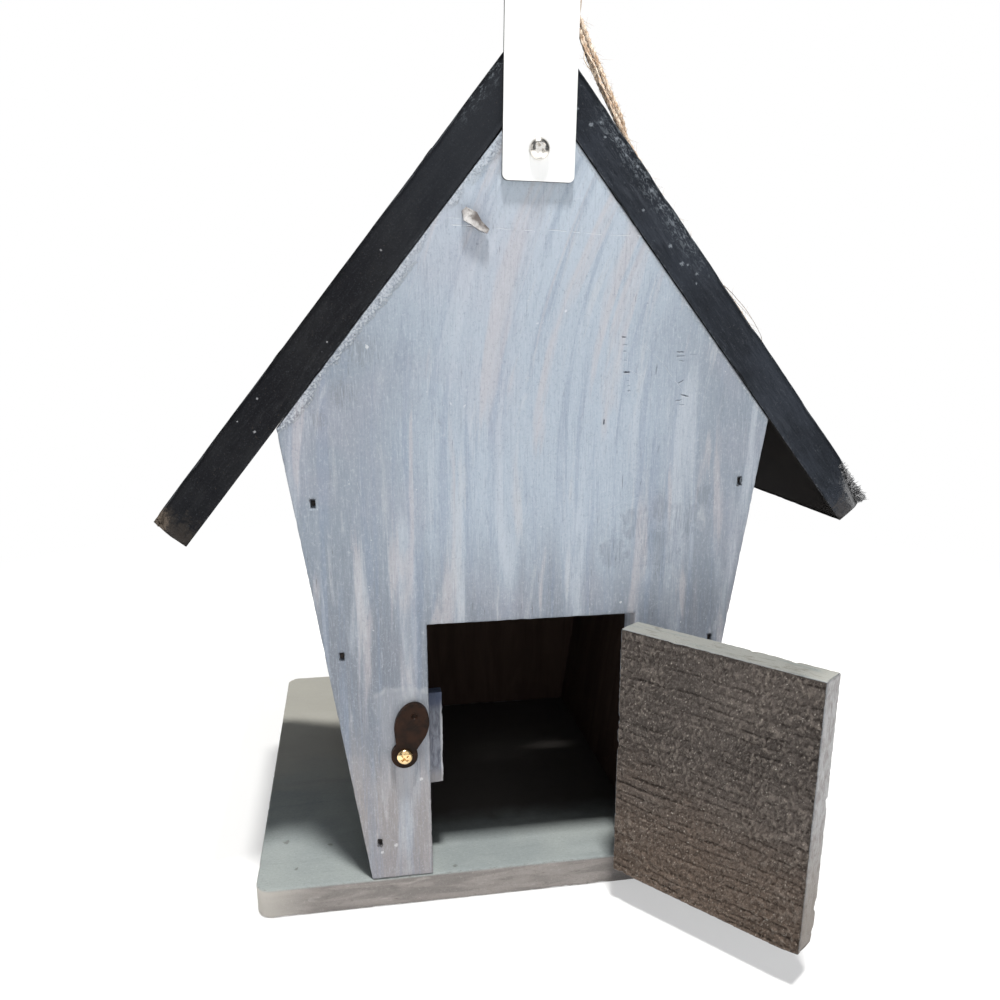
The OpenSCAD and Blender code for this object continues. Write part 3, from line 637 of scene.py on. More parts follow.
def door_material(name):
    """In the door's closed place: outer face painted, inner face rough from the saw."""
    m = Mat(name)
    x, y, z = m.xyz()
    k = KD
    inner = m.attr("inner")
    top = m.attr("topedge")
    free = m.attr("freeedge")
    pit = m.attr("pit")
    saw = m.noise((0.030, 0.5, 0.55), 5, 0.62, 0.7, off=(3, 1, 2))
    saw2 = m.noise((0.16, 0.5, 2.0), 5, 0.68, 0.6, off=(6, 2, 8))
    lean = m.join(m.add(m.mul(x, 0.94), m.mul(z, 0.34)), y, m.sub(m.mul(z, 0.94), m.mul(x, 0.34)))
    fib = m.noise((3.0, 3.0, 1.1), 5, 0.78, 0.2, vec=lean, off=(2, 4, 4))
    grit = m.noise((1.6, 1.6, 0.7), 5, 0.75, 0.2, vec=lean, off=(7, 4, 1))
    cell = m.add3(m.vscale(lean, (1.55, 1.55, 0.95)), m.vscale(m.t_noise_vec(0.9), (0.6, 0.6, 0.6)))
    vo = m.t.nodes.new("ShaderNodeTexVoronoi")
    m.put(vo.inputs["Vector"], cell)
    vo.inputs["Scale"].default_value = 1.0
    chipc = m.sub(1.0, vo.outputs["Distance"])
    rnd = m.xyz(vo.outputs["Color"])[0]
    tonen = m.noise((0.04, 0.04, 0.05), 3, 0.5, off=(5, 5, 5))
    c = m.mix(m.step(tonen, 0.35, 0.68), tone(98, 90, 85, k), tone(116, 107, 101, k))
    c = m.mix(m.mul(m.step(m.add(z, m.mul(m.sub(tonen, 0.5), 40.0)), 62.0, 12.0), 0.9), c, tone(128, 110, 96, k))
    c = m.mix(m.mul(m.step(saw, 0.52, 0.70), 0.25), c, tone(70, 63, 59, k))
    c = m.mix(m.mul(m.step(saw2, 0.55, 0.72), 0.25), c, tone(62, 55, 51, k))
    c = m.mix(m.mul(m.step(grit, 0.56, 0.68), 0.40), c, tone(150, 141, 132, k))
    # painted light on the sawn face: pale fib marks are painted highlights on raised fibres, dark fib marks painted
    # shade between them
    c = m.mix(m.mul(m.step(fib, 0.57, 0.68), 0.62), c, tone(200, 192, 182, k))
    c = m.mix(m.mul(m.step(fib, 0.44, 0.32), 0.55), c, tone(44, 38, 35, k))
    high = m.attr("high")
    # painted shade in the pits of the sawn face, painted highlight on its raised parts
    c = m.mix(m.mul(m.step(pit, 0.50, 0.95), 0.50), c, tone(52, 45, 40, k))
    c = m.mix(m.mul(m.step(high, 0.50, 0.90), 0.42), c, tone(152, 142, 132, k))
    # crumb: painted highlights on the tops of the torn crumbs; shade: painted shade beside them
    crumb = m.mul(m.step(chipc, 0.62, 0.86), m.step(rnd, 0.68, 0.92))
    c = m.mix(m.mul(crumb, 0.62), c, tone(200, 191, 180, k))
    shade = m.mul(m.step(chipc, 0.50, 0.28), m.step(rnd, 0.25, 0.75))
    c = m.mix(m.mul(shade, 0.30), c, tone(48, 42, 38, k))
    # tiny painted glints on the sawn face
    glint_painted_highlight = m.noise((0.9, 0.9, 1.4), 2, 0.5, off=(1, 7, 3))
    c = m.mix(m.mul(m.step(glint_painted_highlight, 0.72, 0.765), 0.75), c, tone(222, 216, 208, k))
    rough_c = c
    # paint
    kv = KV
    fine = m.noise((3.0, 3.0, 0.25), 5, 0.65, 0.3)
    brush = m.noise((0.13, 0.13, 0.014), 4, 0.55, 0.6, off=(1, 8, 3))
    grain = m.noise((0.42, 0.42, 0.016), 5, 0.62, 0.9, off=(4, 2, 7))
    p = m.mix(m.step(brush, 0.36, 0.66), tone(156, 166, 180, kv), tone(176, 184, 194, kv))
    p = m.mix(m.mul(m.step(grain, 0.50, 0.70), 0.40), p, tone(133, 144, 160, kv))
    p = m.mix(m.mul(m.step(fine, 0.54, 0.72), 0.35), p, tone(116, 124, 136, kv))
    p = m.mix(m.mul(m.step(fine, 0.45, 0.28), 0.35), p, tone(208, 213, 220, kv))
    p = m.mix(m.mul(m.step(z, 80.0, 15.0), 0.7), p, tone(164, 159, 158, kv))
    blot = m.noise((0.16, 0.5, 0.25), 5, 0.68, 0.8, off=(9, 2, 2))
    kt = KT * 1.45
    t = m.mix(m.mul(m.step(blot, 0.52, 0.64), 0.7), tone(206, 207, 200, kt), tone(164, 161, 150, kt))
    t = m.mix(m.mul(m.step(m.noise((0.05, 0.5, 0.25), 4, 0.6, 0.6, off=(2, 2, 9)), 0.55, 0.66), 0.7), t, tone(168, 184, 184, kt))
    t = m.mix(m.mul(m.step(m.noise((1.6, 1.6, 1.6), 4, 0.8, off=(6, 2, 9)), 0.54, 0.68), 0.4), t, tone(222, 222, 216, kt))
    t = m.mix(m.mul(m.step(blot, 0.38, 0.28), 0.7), t, tone(128, 116, 104, kt))
    p = m.mix(top, p, t)
    f = m.mix(m.step(blot, 0.42, 0.62), tone(188, 188, 190, KF), tone(158, 154, 154, KF))
    f = m.mix(m.mul(m.step(z, 60.0, 18.0), 0.8), f, tone(150, 140, 130, KF))
    f = m.mix(m.mul(m.step(m.noise((0.5, 0.5, 0.35), 4, 0.7, off=(3, 9, 9)), 0.56, 0.68), 0.5), f, tone(120, 112, 106, KF))
    p = m.mix(free, p, f)
    edge = m.attr("edge")
    wob = m.mul(m.sub(m.noise((0.6, 0.6, 0.6), 4, 0.7, off=(1, 1, 6)), 0.5), 1.1)
    mask = m.step(m.add(inner, wob), 0.38, 0.62)
    c = m.mix(mask, p, rough_c)
    chipn = m.noise((0.8, 0.8, 0.8), 5, 0.7, off=(5, 9, 1))
    chip = m.step(m.sub(m.mul(chipn, 2.8), m.mul(edge, 1.4)), 0.95, 1.3)
    c = m.mix(m.mul(chip, 0.35), c, tone(196, 194, 190, KF))
    hr = m.add(m.add(m.mul(saw2, 0.35), m.mul(fib, 0.8)), m.add(m.mul(grit, 0.9), m.mul(chipc, 0.30)))
    hp = m.mul(fine, 0.35)
    h = m.add(m.mul(hr, inner), m.mul(hp, m.sub(1.0, inner)))
    m.set(Base_Color=c, Roughness=m.lerp(inner, 0.62, 0.66), Normal=m.bump(h, 1.9, 1.0))
    m.set(Specular_IOR_Level=0.35)
    return m.m


def bronze(name):
    m = Mat(name)
    n1 = m.noise((0.25, 0.25, 0.25), 4, 0.6, 0.4)
    n2 = m.noise((1.8, 1.8, 1.8), 4, 0.6)
    c = m.mix(m.step(n1, 0.38, 0.64), srgb(28, 20, 16), srgb(44, 28, 20))
    c = m.mix(m.mul(m.step(n2, 0.62, 0.72), 0.25), c, srgb(78, 58, 44))
    m.set(Base_Color=c, Roughness=m.lerp(n2, 0.34, 0.52), Normal=m.bump(n2, 0.04, 0.4))
    m.set(Metallic=0.0, Specular_IOR_Level=0.06, Coat_Weight=0.03, Coat_Roughness=0.12)
    return m.m


def strap_metal(name):
    """White-coated strip; its side faces and bevels are dark, partly raw steel edges and partly painted shade for the
    shadow along the strip.
    """
    m = Mat(name)
    n1 = m.noise((0.10, 0.10, 0.10), 4, 0.6, 0.3)
    n2 = m.noise((2.5, 2.5, 0.08), 5, 0.6)
    tc = m.t.nodes.new("ShaderNodeTexCoord")
    _, ny, _ = m.xyz(tc.outputs["Normal"])
    # side: raw steel edges and painted shade along the strip
    side = m.step(m.abs(ny), 0.96, 0.75)
    c = m.mix(m.step(n1, 0.35, 0.68), (0.90, 0.90, 0.89), (0.94, 0.94, 0.935))
    c = m.mix(m.mul(m.step(n2, 0.56, 0.75), 0.25), c, (0.82, 0.82, 0.82))
    c = m.mix(m.mul(side, 0.95), c, srgb(58, 56, 56))
    m.set(Base_Color=c, Roughness=m.lerp(n2, 0.28, 0.42), Normal=m.bump(n2, 0.02, 0.4))
    m.set(Metallic=0.55, Specular_IOR_Level=0.6)
    return m.m


def metal(name, a, b, rough, brushed=None, dirt=0.0):
    m = Mat(name)
    n1 = m.noise((0.3, 0.3, 0.3), 4, 0.6, 0.3)
    sc = brushed or (2.0, 2.0, 2.0)
    n2 = m.noise(sc, 5, 0.6)
    c = m.mix(m.step(n1, 0.35, 0.68), a, b)
    c = m.mix(m.mul(m.step(n2, 0.60, 0.75), 0.35), c, tuple(v * 0.6 for v in a))
    if dirt:
        n3 = m.noise((0.9, 0.9, 0.9), 4, 0.7, off=(4, 4, 1))
        c = m.mix(m.mul(m.step(n3, 0.55, 0.7), dirt), c, srgb(92, 74, 60))
    m.set(Base_Color=c, Roughness=m.lerp(n2, rough * 0.7, rough * 1.4), Normal=m.bump(n2, 0.03, 0.5))
    m.set(Metallic=1.0)
    return m.m


def jute_mat(name, pale=0.0):
    m = Mat(name)
    n1 = m.noise((0.5, 0.5, 0.5), 5, 0.7, 0.4)
    n2 = m.noise((3.0, 3.0, 3.0), 4, 0.7)
    c = m.mix(m.step(n1, 0.35, 0.66), srgb(168, 138, 110), srgb(232, 218, 200))
    c = m.mix(m.mul(m.step(n2, 0.54, 0.72), 0.5), c, srgb(128, 98, 72))
    # deep: painted shade on the strand sides that face each other and in the yarn grooves
    deep = m.attr("deep")
    c = m.mix(m.mul(deep, 0.85 * (1 - pale)), c, srgb(74, 50, 34))
    m.set(Base_Color=c, Roughness=0.85, Normal=m.bump(n2, 0.15, 0.8))
    m.set(Specular_IOR_Level=0.2, Sheen_Weight=0.3, Sheen_Roughness=0.5)
    return m.m


# ---------------------------------------------------------------- boards
def clean_copy(node):
    bm = bmesh.new()
    bm.from_mesh(N[node].data)
    bmesh.ops.remove_doubles(bm, verts=bm.verts, dist=2e-6)
    bmesh.ops.dissolve_limit(bm, angle_limit=math.radians(2), verts=bm.verts, edges=bm.edges,
                             use_dissolve_boundaries=False)
    bmesh.ops.recalc_face_normals(bm, faces=bm.faces)
    return bm


def sharp_edges(bm, least=6e-6, angle=0.4):
    return [e for e in bm.edges if len(e.link_faces) == 2
            and e.calc_face_angle(0) > angle
            and min(f.calc_area() for f in e.link_faces) > least]


def slice_along(bm, axis, step):
    co = [v.co[axis] for v in bm.verts]
    lo, hi = min(co), max(co)
    count = max(1, int(round((hi - lo) / step)))
    no = Vector((0, 0, 0))
    no[axis] = 1
    for k in range(1, count):
        at = Vector((0, 0, 0))
        at[axis] = lo + (hi - lo) * k / count
        bmesh.ops.bisect_plane(bm, geom=bm.verts[:] + bm.edges[:] + bm.faces[:],
                               dist=1e-7, plane_co=at, plane_no=no)


def seg_distance(p, segs):
    best = np.full(len(p), 1e9)
    for a, b in segs:
        d = b - a
        t = np.clip(((p - a) @ d) / max(d @ d, 1e-18), 0, 1)
        best = np.minimum(best, np.linalg.norm(p - (a + t[:, None] * d), axis=1))
    return best


def vert_arrays(me):
    co = np.zeros(len(me.vertices) * 3)
    me.vertices.foreach_get("co", co)
    no = np.zeros(len(me.vertices) * 3)
    me.vertices.foreach_get("normal", no)
    return co.reshape(-1, 3), no.reshape(-1, 3)


def set_attr(me, name, values):
    a = me.attributes.get(name) or me.attributes.new(name, "FLOAT", "POINT")
    a.data.foreach_set("value", np.asarray(values, np.float32))


def new_piece(name, me, body, nodes):
    o = bpy.data.objects.new(name, me)
    bpy.context.scene.collection.objects.link(o)
    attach(o, body)
    if nodes:
        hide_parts(*nodes)
    return o


def smooth(me, flat_above=None):
    me.polygons.foreach_set("use_smooth", [True] * len(me.polygons))


def board(node, mats, bevel=0.55, steps=(1.6, 4.0, 1.6), along=2, seed=1,
          rough=0.05, wave=0.10, chips=0.35, pick=None, extra=None, body="house", local=None):
    """A board from its CAD node: eased edges, a fine mesh, grain, waviness and chipped edges as real
    geometry. local turns the CAD place into the board's own."""
    bm = clean_copy(node)
    if local is not None:
        bmesh.ops.transform(bm, matrix=local, verts=bm.verts)
        bmesh.ops.recalc_face_normals(bm, faces=bm.faces)
    segs = [(np.array(e.verts[0].co), np.array(e.verts[1].co)) for e in sharp_edges(bm)]
    bmesh.ops.bevel(bm, geom=sharp_edges(bm), offset=bevel * MM, segments=3, profile=0.55,
                    affect="EDGES", clamp_overlap=True)
    for axis in range(3):
        if steps[axis]:
            slice_along(bm, axis, steps[axis] * MM)
    me = bpy.data.meshes.new(node + "_mesh")
    bm.normal_update()
    bm.to_mesh(me)
    bm.free()
    co, no = vert_arrays(me)
    edge = seg_distance(co, segs) * 1000
    p = co * 1000
    stretch = np.array([0.5, 0.5, 0.5])
    stretch[along] = 0.03
    g = fbm(p * stretch, 4, seed)
    w = fbm(p * np.array([0.035, 0.035, 0.035]), 3, seed + 5)
    near = np.exp(-(edge / 1.3) ** 2)
    bite = sstep(0.12, 0.55, fbm(p * 0.33, 4, seed + 9)) * near * chips
    bite += sstep(-0.1, 0.6, fbm(p * 0.9, 3, seed + 13)) * near * 0.10
    d = rough * (g - 0.55) + wave * (w - 0.6) * 0.5 - bite
    attrs = {"edge": edge}
    if extra is not None:
        d, attrs = extra(p, no, edge, d, attrs)
    d = np.minimum(d, 0.0)
    co = co + no * (d * MM)[:, None]
    me.vertices.foreach_set("co", co.ravel())
    me.update()
    for k, v in attrs.items():
        set_attr(me, k, v)
    for mt in mats:
        me.materials.append(mt)
    if pick is not None and len(mats) > 1:
        idx = [pick(f.center * 1000, f.normal) for f in me.polygons]
        me.polygons.foreach_set("material_index", idx)
    smooth(me)
    if local is None:
        return new_piece(node + "_board", me, body, [node])
    o = bpy.data.objects.new(node + "_board", me)
    bpy.context.scene.collection.objects.link(o)
    o.matrix_world = local.inverted()
    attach(o, body)
    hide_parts(node)
    return o


M_WALL = wall_paint("wall_paint_plain")
M_SIDE = wall_paint("wall_paint_sides", tilt=0.132)
M_FRONT = wall_paint("wall_paint_door_side", front=True)
M_IN = inner_wood_painted_shade("inner_wood_painted_shade", 0.45)
M_BASE = base_paint("base_paint_boards")
M_DOOR = door_material("door_wood_and_paint")
M_BRONZE = bronze("bronze_lacquer")
M_BRASS = metal("brass_screw_metal", srgb(224, 192, 140), srgb(240, 214, 168), 0.22, dirt=0.35)
M_STEEL = metal("bright_steel_metal", srgb(214, 210, 204), srgb(236, 232, 226), 0.20, dirt=0.25)
M_NAIL = metal("bent_nail_metal", srgb(120, 112, 108), srgb(236, 232, 228), 0.30, dirt=0.55)
M_STRAP = strap_metal("strap_white_metal")
M_STOP = stop_paint("stop_paint")
M_BRAD = metal("brad_dark_steel", srgb(38, 36, 36), srgb(56, 52, 50), 0.5)
M_JUTE = jute_mat("jute_twine")
M_FIBRE = jute_mat("jute_fibre", pale=1.0)

fine_step = 1.4

board("door_panel", [M_FRONT, M_IN], steps=(fine_step, 2.0, fine_step), along=2, seed=3,
      chips=0.16, pick=lambda c, n: 1 if n.y > 0.7 else 0)
board("entrance_panel", [M_WALL, M_IN], steps=(2.2, 2.5, 2.2), along=2, seed=7,
      chips=0.22, pick=lambda c, n: 1 if n.y < -0.7 else 0)
board("side_wall_left", [M_SIDE, M_IN], steps=(2.5, 3.5, 2.4), along=2, seed=11,
      chips=0.2, pick=lambda c, n: 1 if n.x > 0.7 else 0)
board("side_wall_right", [M_SIDE, M_IN], steps=(2.5, 3.5, 2.4), along=2, seed=15,
      chips=0.2, pick=lambda c, n: 1 if n.x < -0.7 else 0)
board("base_board", [M_BASE], steps=(fine_step, 2.0, 2.0), along=0, seed=19, bevel=0.8, chips=0.25)
board("door_stop", [M_STOP], steps=(0.7, 0.7, 0.7), along=2, seed=23, bevel=0.35, chips=0.45)

for side, turn, seed in (("left", PITCH, 27), ("right", -PITCH, 31)):
    right_side = side == "right"
    flat = Matrix.Rotation(turn, 4, "Y")
    pts = [flat @ Vector(v.co) for v in N["roof_board_" + side].data.vertices]
    ROOF_X0 = min(p.x for p in pts) * 1000
    ROOF_X1 = max(p.x for p in pts) * 1000
    ROOF_TOP = max(p.z for p in pts) * 1000
    low = min(p.z for p in pts) * 1000
    eave = ROOF_X1 if right_side else ROOF_X0

    def roof_extra(p, no, edge, d, attrs, eave=eave, top=ROOF_TOP, low=low, right_side=right_side):
        front = YF * 1000
        away = np.abs(p[:, 0] - eave)
        up = top - p[:, 2]
        back = p[:, 1] - front
        end = sstep(16.0, 0.0, away)
        attrs["endgrain"] = end
        # faces that look down get painted shade in the roof paint
        attrs["under"] = np.clip(-no[:, 2], 0, 1) ** 2
        # broken outer corner at the front of each eave
        ragged = 0.5 + 0.5 * fbm(p * 0.30, 3, 61)
        fine_n = 0.5 + 0.5 * fbm(p * 1.1, 3, 63)
        rim = np.hypot(away, up)
        deep = 2.6 if right_side else 1.5
        run = 60.0 if right_side else 8.0
        w = np.exp(-(rim / 3.4) ** 2) * np.exp(-(back / run) ** 2)
        bite = sstep(0.42, 0.62, 0.5 + 0.5 * fbm(p * 0.22, 2, 62))
        side_w = np.exp(-(up / 2.6) ** 2) * sstep(19.0 if right_side else 6.0, 2.0, away) * np.exp(-(back / 7.0) ** 2)
        d = d - w * deep * (0.20 + 1.0 * ragged) - side_w * (1.9 if right_side else 0.5) * bite
        d = d - (w + side_w) * 0.45 * fine_n
        # the whole outer edge wanders a little
        lip = np.exp(-(up / 1.6) ** 2) * np.exp(-(back / 3.0) ** 2)
        d = d - lip * 0.55 * sstep(0.35, 0.8, 0.5 + 0.5 * fbm(p * 0.10, 3, 67))
        under_lip = np.exp(-((p[:, 2] - low) / 1.6) ** 2) * np.exp(-(back / 3.0) ** 2)
        d = d - under_lip * 0.40 * sstep(0.45, 0.8, 0.5 + 0.5 * fbm(p * 0.09, 3, 71))
        pale = sstep(13.0, 3.0, away) * sstep(8.0, 1.0, up) * np.exp(-(back / 4.0) ** 2) if right_side else w * 0
        attrs["fray"] = np.clip(0.8 * (w + side_w) + 0.75 * pale, 0, 1)
        return d, attrs

    board("roof_board_" + side, [roof_paint("roof_paint_" + side, right_side)],
          steps=(1.8, 2.2, 1.5), along=0, seed=seed, bevel=0.6, chips=0.22, extra=roof_extra, local=flat)

# loose splinters on the broken corner of the right eave
def splinters(name, count, seed):
    rng = np.random.default_rng(seed)
    to_cad = Matrix.Rotation(-PITCH, 4, "Y").inverted()
    verts, faces = [], []
    for _ in range(count):
        a = rng.uniform(0, 1) ** 1.5
        if rng.uniform() < 0.72:
            at = Vector((ROOF_X1 - 15.0 * a, YF * 1000 + 0.3 + rng.uniform(0, 2.5), ROOF_TOP - rng.uniform(0.3, 2.2)))
            d = Vector((rng.normal(0.1, 0.5), rng.normal(-0.45, 0.4), rng.uniform(0.3, 1.0)))
        else:
            at = Vector((ROOF_X1 - rng.uniform(0.4, 1.6), YF * 1000 + 0.4 + rng.uniform(0, 6.0), ROOF_TOP - 9.5 * rng.uniform(0, 1)))
            d = Vector((rng.uniform(0.3, 1.0), rng.normal(-0.35, 0.4), rng.normal(0.2, 0.5)))
        d.normalize()
        length = rng.uniform(0.3, 1.0) ** 1.6 * 1.25
        e1 = d.cross(Vector((0.31, 0.52, 0.79))).normalized()
        e2 = d.cross(e1)
        bend = Vector(rng.normal(0, 0.3, 3))
        r0 = rng.uniform(0.10, 0.26)
        first = len(verts)
        for k_ in range(4):
            f = k_ / 3
            c_ = at - d * 0.4 + d * (length + 0.4) * f + bend * length * f * f
            r_ = r0 * (1 - 0.75 * f)
            for q_ in range(4):
                w_ = math.pi * q_ / 2
                verts.append(to_cad @ (c_ + r_ * (math.cos(w_) * e1 + 0.5 * math.sin(w_) * e2)))
        for k_ in range(3):
            for q_ in range(4):
                a0, a1 = first + 4 * k_ + q_, first + 4 * k_ + (q_ + 1) % 4
                faces.append((a0, a1, a1 + 4, a0 + 4))
        faces.append([first + 3, first + 2, first + 1, first])
        faces.append([first + 12, first + 13, first + 14, first + 15])
    me_ = bpy.data.meshes.new(name)
    me_.from_pydata([v * MM for v in verts], [], faces)
    me_.materials.append(M_SPLINTER)
    return new_piece(name, me_, "house", [])


def splinter_mat(name):
    m = Mat(name)
    n = m.noise((0.9, 0.9, 0.9), 4, 0.7)
    c = m.mix(m.step(n, 0.38, 0.62), srgb(78, 79, 82), srgb(168, 168, 169))
    m.set(Base_Color=c, Roughness=0.9)
    m.set(Specular_IOR_Level=0.1)
    return m.m


M_SPLINTER = splinter_mat("splinter_grey")
splinters("roof_corner_splinters", 900, 41)

# the door, modelled in its closed place
to_closed = Matrix.Translation(hinge) @ Matrix.Rotation(door_closed, 4, "Z") @ Matrix.Translation(-hinge)
dl = [to_closed @ Vector(v.co) for v in N["door"].data.vertices]
D_LO = [min(v[i] for v in dl) * 1000 for i in range(3)]
D_HI = [max(v[i] for v in dl) * 1000 for i in range(3)]


def door_extra(p, no, edge, d, attrs):
    inner = np.clip(no[:, 1], 0, 1) ** 2
    fade = sstep(0.0, 0.9, edge)
    # torn crumbs of wood leaning across the grain, between the saw's lines
    across = p[:, 0] * 0.94 + p[:, 2] * 0.34
    up = -p[:, 0] * 0.34 + p[:, 2] * 0.94
    q = np.stack([across * 1.70, p[:, 1] * 0.3, up * 0.62], 1)
    lump = sstep(0.46, 0.60, 0.5 + 0.5 * fbm(q, 4, 101))
    q2 = np.stack([across * 2.5, p[:, 1] * 0.3, up * 1.2], 1)
    lump2 = sstep(0.46, 0.64, 0.5 + 0.5 * fbm(q2, 3, 103))
    where = sstep(0.30, 0.62, 0.5 + 0.5 * fbm(p * np.array([0.035, 0.1, 0.030]), 3, 105))
    where = 0.40 + 0.60 * np.maximum(where, sstep(24.0, 14.0, p[:, 0]) * 0.6)
    wob = fbm(p * np.array([0.05, 0.1, 0.06]), 3, 107)
    line = np.abs(np.sin(p[:, 2] * 1.10 + p[:, 0] * 0.03 + 2.0 * wob))
    line = sstep(0.48, 0.0, line) * sstep(0.34, 0.58, 0.5 + 0.5 * fbm(p * np.array([0.06, 0.2, 0.35]), 3, 108))
    ruts = sstep(0.55, 0.75, 0.5 + 0.5 * fbm(p * np.array([0.10, 0.3, 1.5]), 3, 109))
    wave2 = 0.5 + 0.5 * fbm(p * np.array([0.05, 0.2, 0.30]), 3, 113)
    high = where * (0.58 * lump + 0.30 * lump2) + 0.20 * wave2
    depth = 0.66 * (1.0 - np.clip(high, 0, 1)) + 0.40 * line + 0.22 * ruts * (1 - 0.5 * lump)
    d = d - inner * fade * depth
    # pit and high feed the painted shade in the pits and the painted highlight on the raised parts of the sawn face
    attrs["pit"] = inner * np.clip(depth / 1.10, 0, 1)
    attrs["high"] = inner * np.clip(high, 0, 1)
    # the lower free corner of the outer face is rounded by wear
    q = np.stack([p[:, 0] - D_LO[0], p[:, 2] - D_LO[2]], 1)
    corner = np.exp(-(np.linalg.norm(q, axis=1) / 4.0) ** 2)
    d = d - corner * 0.5
    attrs["inner"] = inner
    attrs["topedge"] = np.clip(no[:, 2], 0, 1) ** 2
    attrs["freeedge"] = np.clip(-no[:, 0], 0, 1) ** 2
    return d, attrs


ds = 0.33
board("door", [M_DOOR], steps=(ds, 2.2, ds), along=0, seed=35, bevel=0.7, chips=0.5,
      extra=door_extra, body="door_leaf", local=to_closed)


# ---------------------------------------------------------------- metal parts kept from CAD
def dress(node, mat, width=0.2, angle=35, segments=2):
    o = N[node]
    o.data.materials.clear()
    o.data.materials.append(mat)
    w = o.modifiers.new("weld", "WELD")
    w.merge_threshold = 2e-6
    b = o.modifiers.new("ease", "BEVEL")
    b.width = width * MM
    b.segments = segments
    b.limit_method = "ANGLE"
    b.angle_limit = math.radians(angle)
    b.use_clamp_overlap = True
    b.harden_normals = False
    o.data.polygons.foreach_set("use_smooth", [True] * len(o.data.polygons))
    n = o.modifiers.new("normals", "WEIGHTED_NORMAL")
    n.keep_sharp = True
    return o


dress("turn_button", M_BRONZE, 0.45, 40, 3)
dress("button_screw", M_BRASS, 0.08, 50)
dress("strap_screw", M_STEEL, 0.08, 50)
dress("hanging_strap", M_STRAP, 0.18, 40)
dress("bent_nail", M_NAIL, 0.15, 40)
for n in ("hinge_leaves_frame", "hinge_leaves_door", "hinge_pins", "hinge_screws_frame", "hinge_screws_door"):
    dress(n, M_BRONZE, 0.12, 40)
for n in ("brads_door_panel", "brads_entrance_panel", "brads_roof", "brads_base"):
    dress(n, M_BRAD, 0.1, 40)


# ---------------------------------------------------------------- jute twine
ROUTE = [[0, -68, 252], [0.8, -68, 257.6], [2.8, -68.2, 260], [5.8, -68.7, 260.8], [9, -69.2, 259.6],
         [12.2, -69.8, 256.2], [15.1, -70.5, 251.5], [16.4, -72, 247.4], [17.8, -74.2, 242.6],
         [19.6, -77.2, 236.9], [21.6, -79.8, 231.6], [23.5, -81.6, 226.9], [26.8, -82, 221.39],
         [31.5, -80.8, 215.67], [37.5, -79.6, 208.37], [50.5, -79.8, 192.54], [56.5, -80.6, 185.24],
         [61.5, -80.8, 179.16], [65.6, -79.4, 174.16], [68.6, -76.4, 170.51], [69.6, -72.9, 169.3],
         [68.4, -69.5, 170.76], [65.2, -66.9, 174.65], [60, -65.6, 180.98], [48, -67.4, 195.59],
         [36.6, -73, 209.46], [31.8, -76.2, 215.3], [27.6, -78.4, 220.42], [24.8, -78.4, 229.3],
         [23.5, -76.4, 233.5], [21.8, -73.6, 238.8], [20, -70.6, 244.8], [18.1, -68, 250.5],
         [16, -66.2, 256.2], [12.6, -65.4, 260.6], [9.2, -64.8, 263.2], [5.4, -64.3, 263], [2.2, -64, 260.6],
         [0.6, -64, 257.2], [0, -64, 252]]
CORD_R = 0.8


def spline(pts, per):
    p = np.array(pts, float)
    out = []
    for i in range(len(p) - 1):
        a, b, c, d = p[max(i - 1, 0)], p[i], p[i + 1], p[min(i + 2, len(p) - 1)]
        for k in range(per):
            t = k / per
            out.append(0.5 * ((2 * b) + (-a + c) * t + (2 * a - 5 * b + 4 * c - d) * t * t
                              + (-a + 3 * b - 3 * c + d) * t ** 3))
    out.append(p[-1])
    return np.array(out)


def evenly(pts, step):
    d = np.r_[0, np.cumsum(np.linalg.norm(np.diff(pts, axis=0), axis=1))]
    n = max(2, int(round(d[-1] / step)) + 1)
    s = np.linspace(0, d[-1], n)
    return np.stack([np.interp(s, d, pts[:, k]) for k in range(3)], 1), s


def frames(pts, start=(0, 1, 0)):
    t = np.gradient(pts, axis=0)
    t /= np.linalg.norm(t, axis=1)[:, None]
    u = np.array(start, float)
    us = []
    for k in range(len(pts)):
        u = u - (u @ t[k]) * t[k]
        u /= np.linalg.norm(u)
        us.append(u)
    us = np.array(us)
    return t, us, np.cross(t, us)


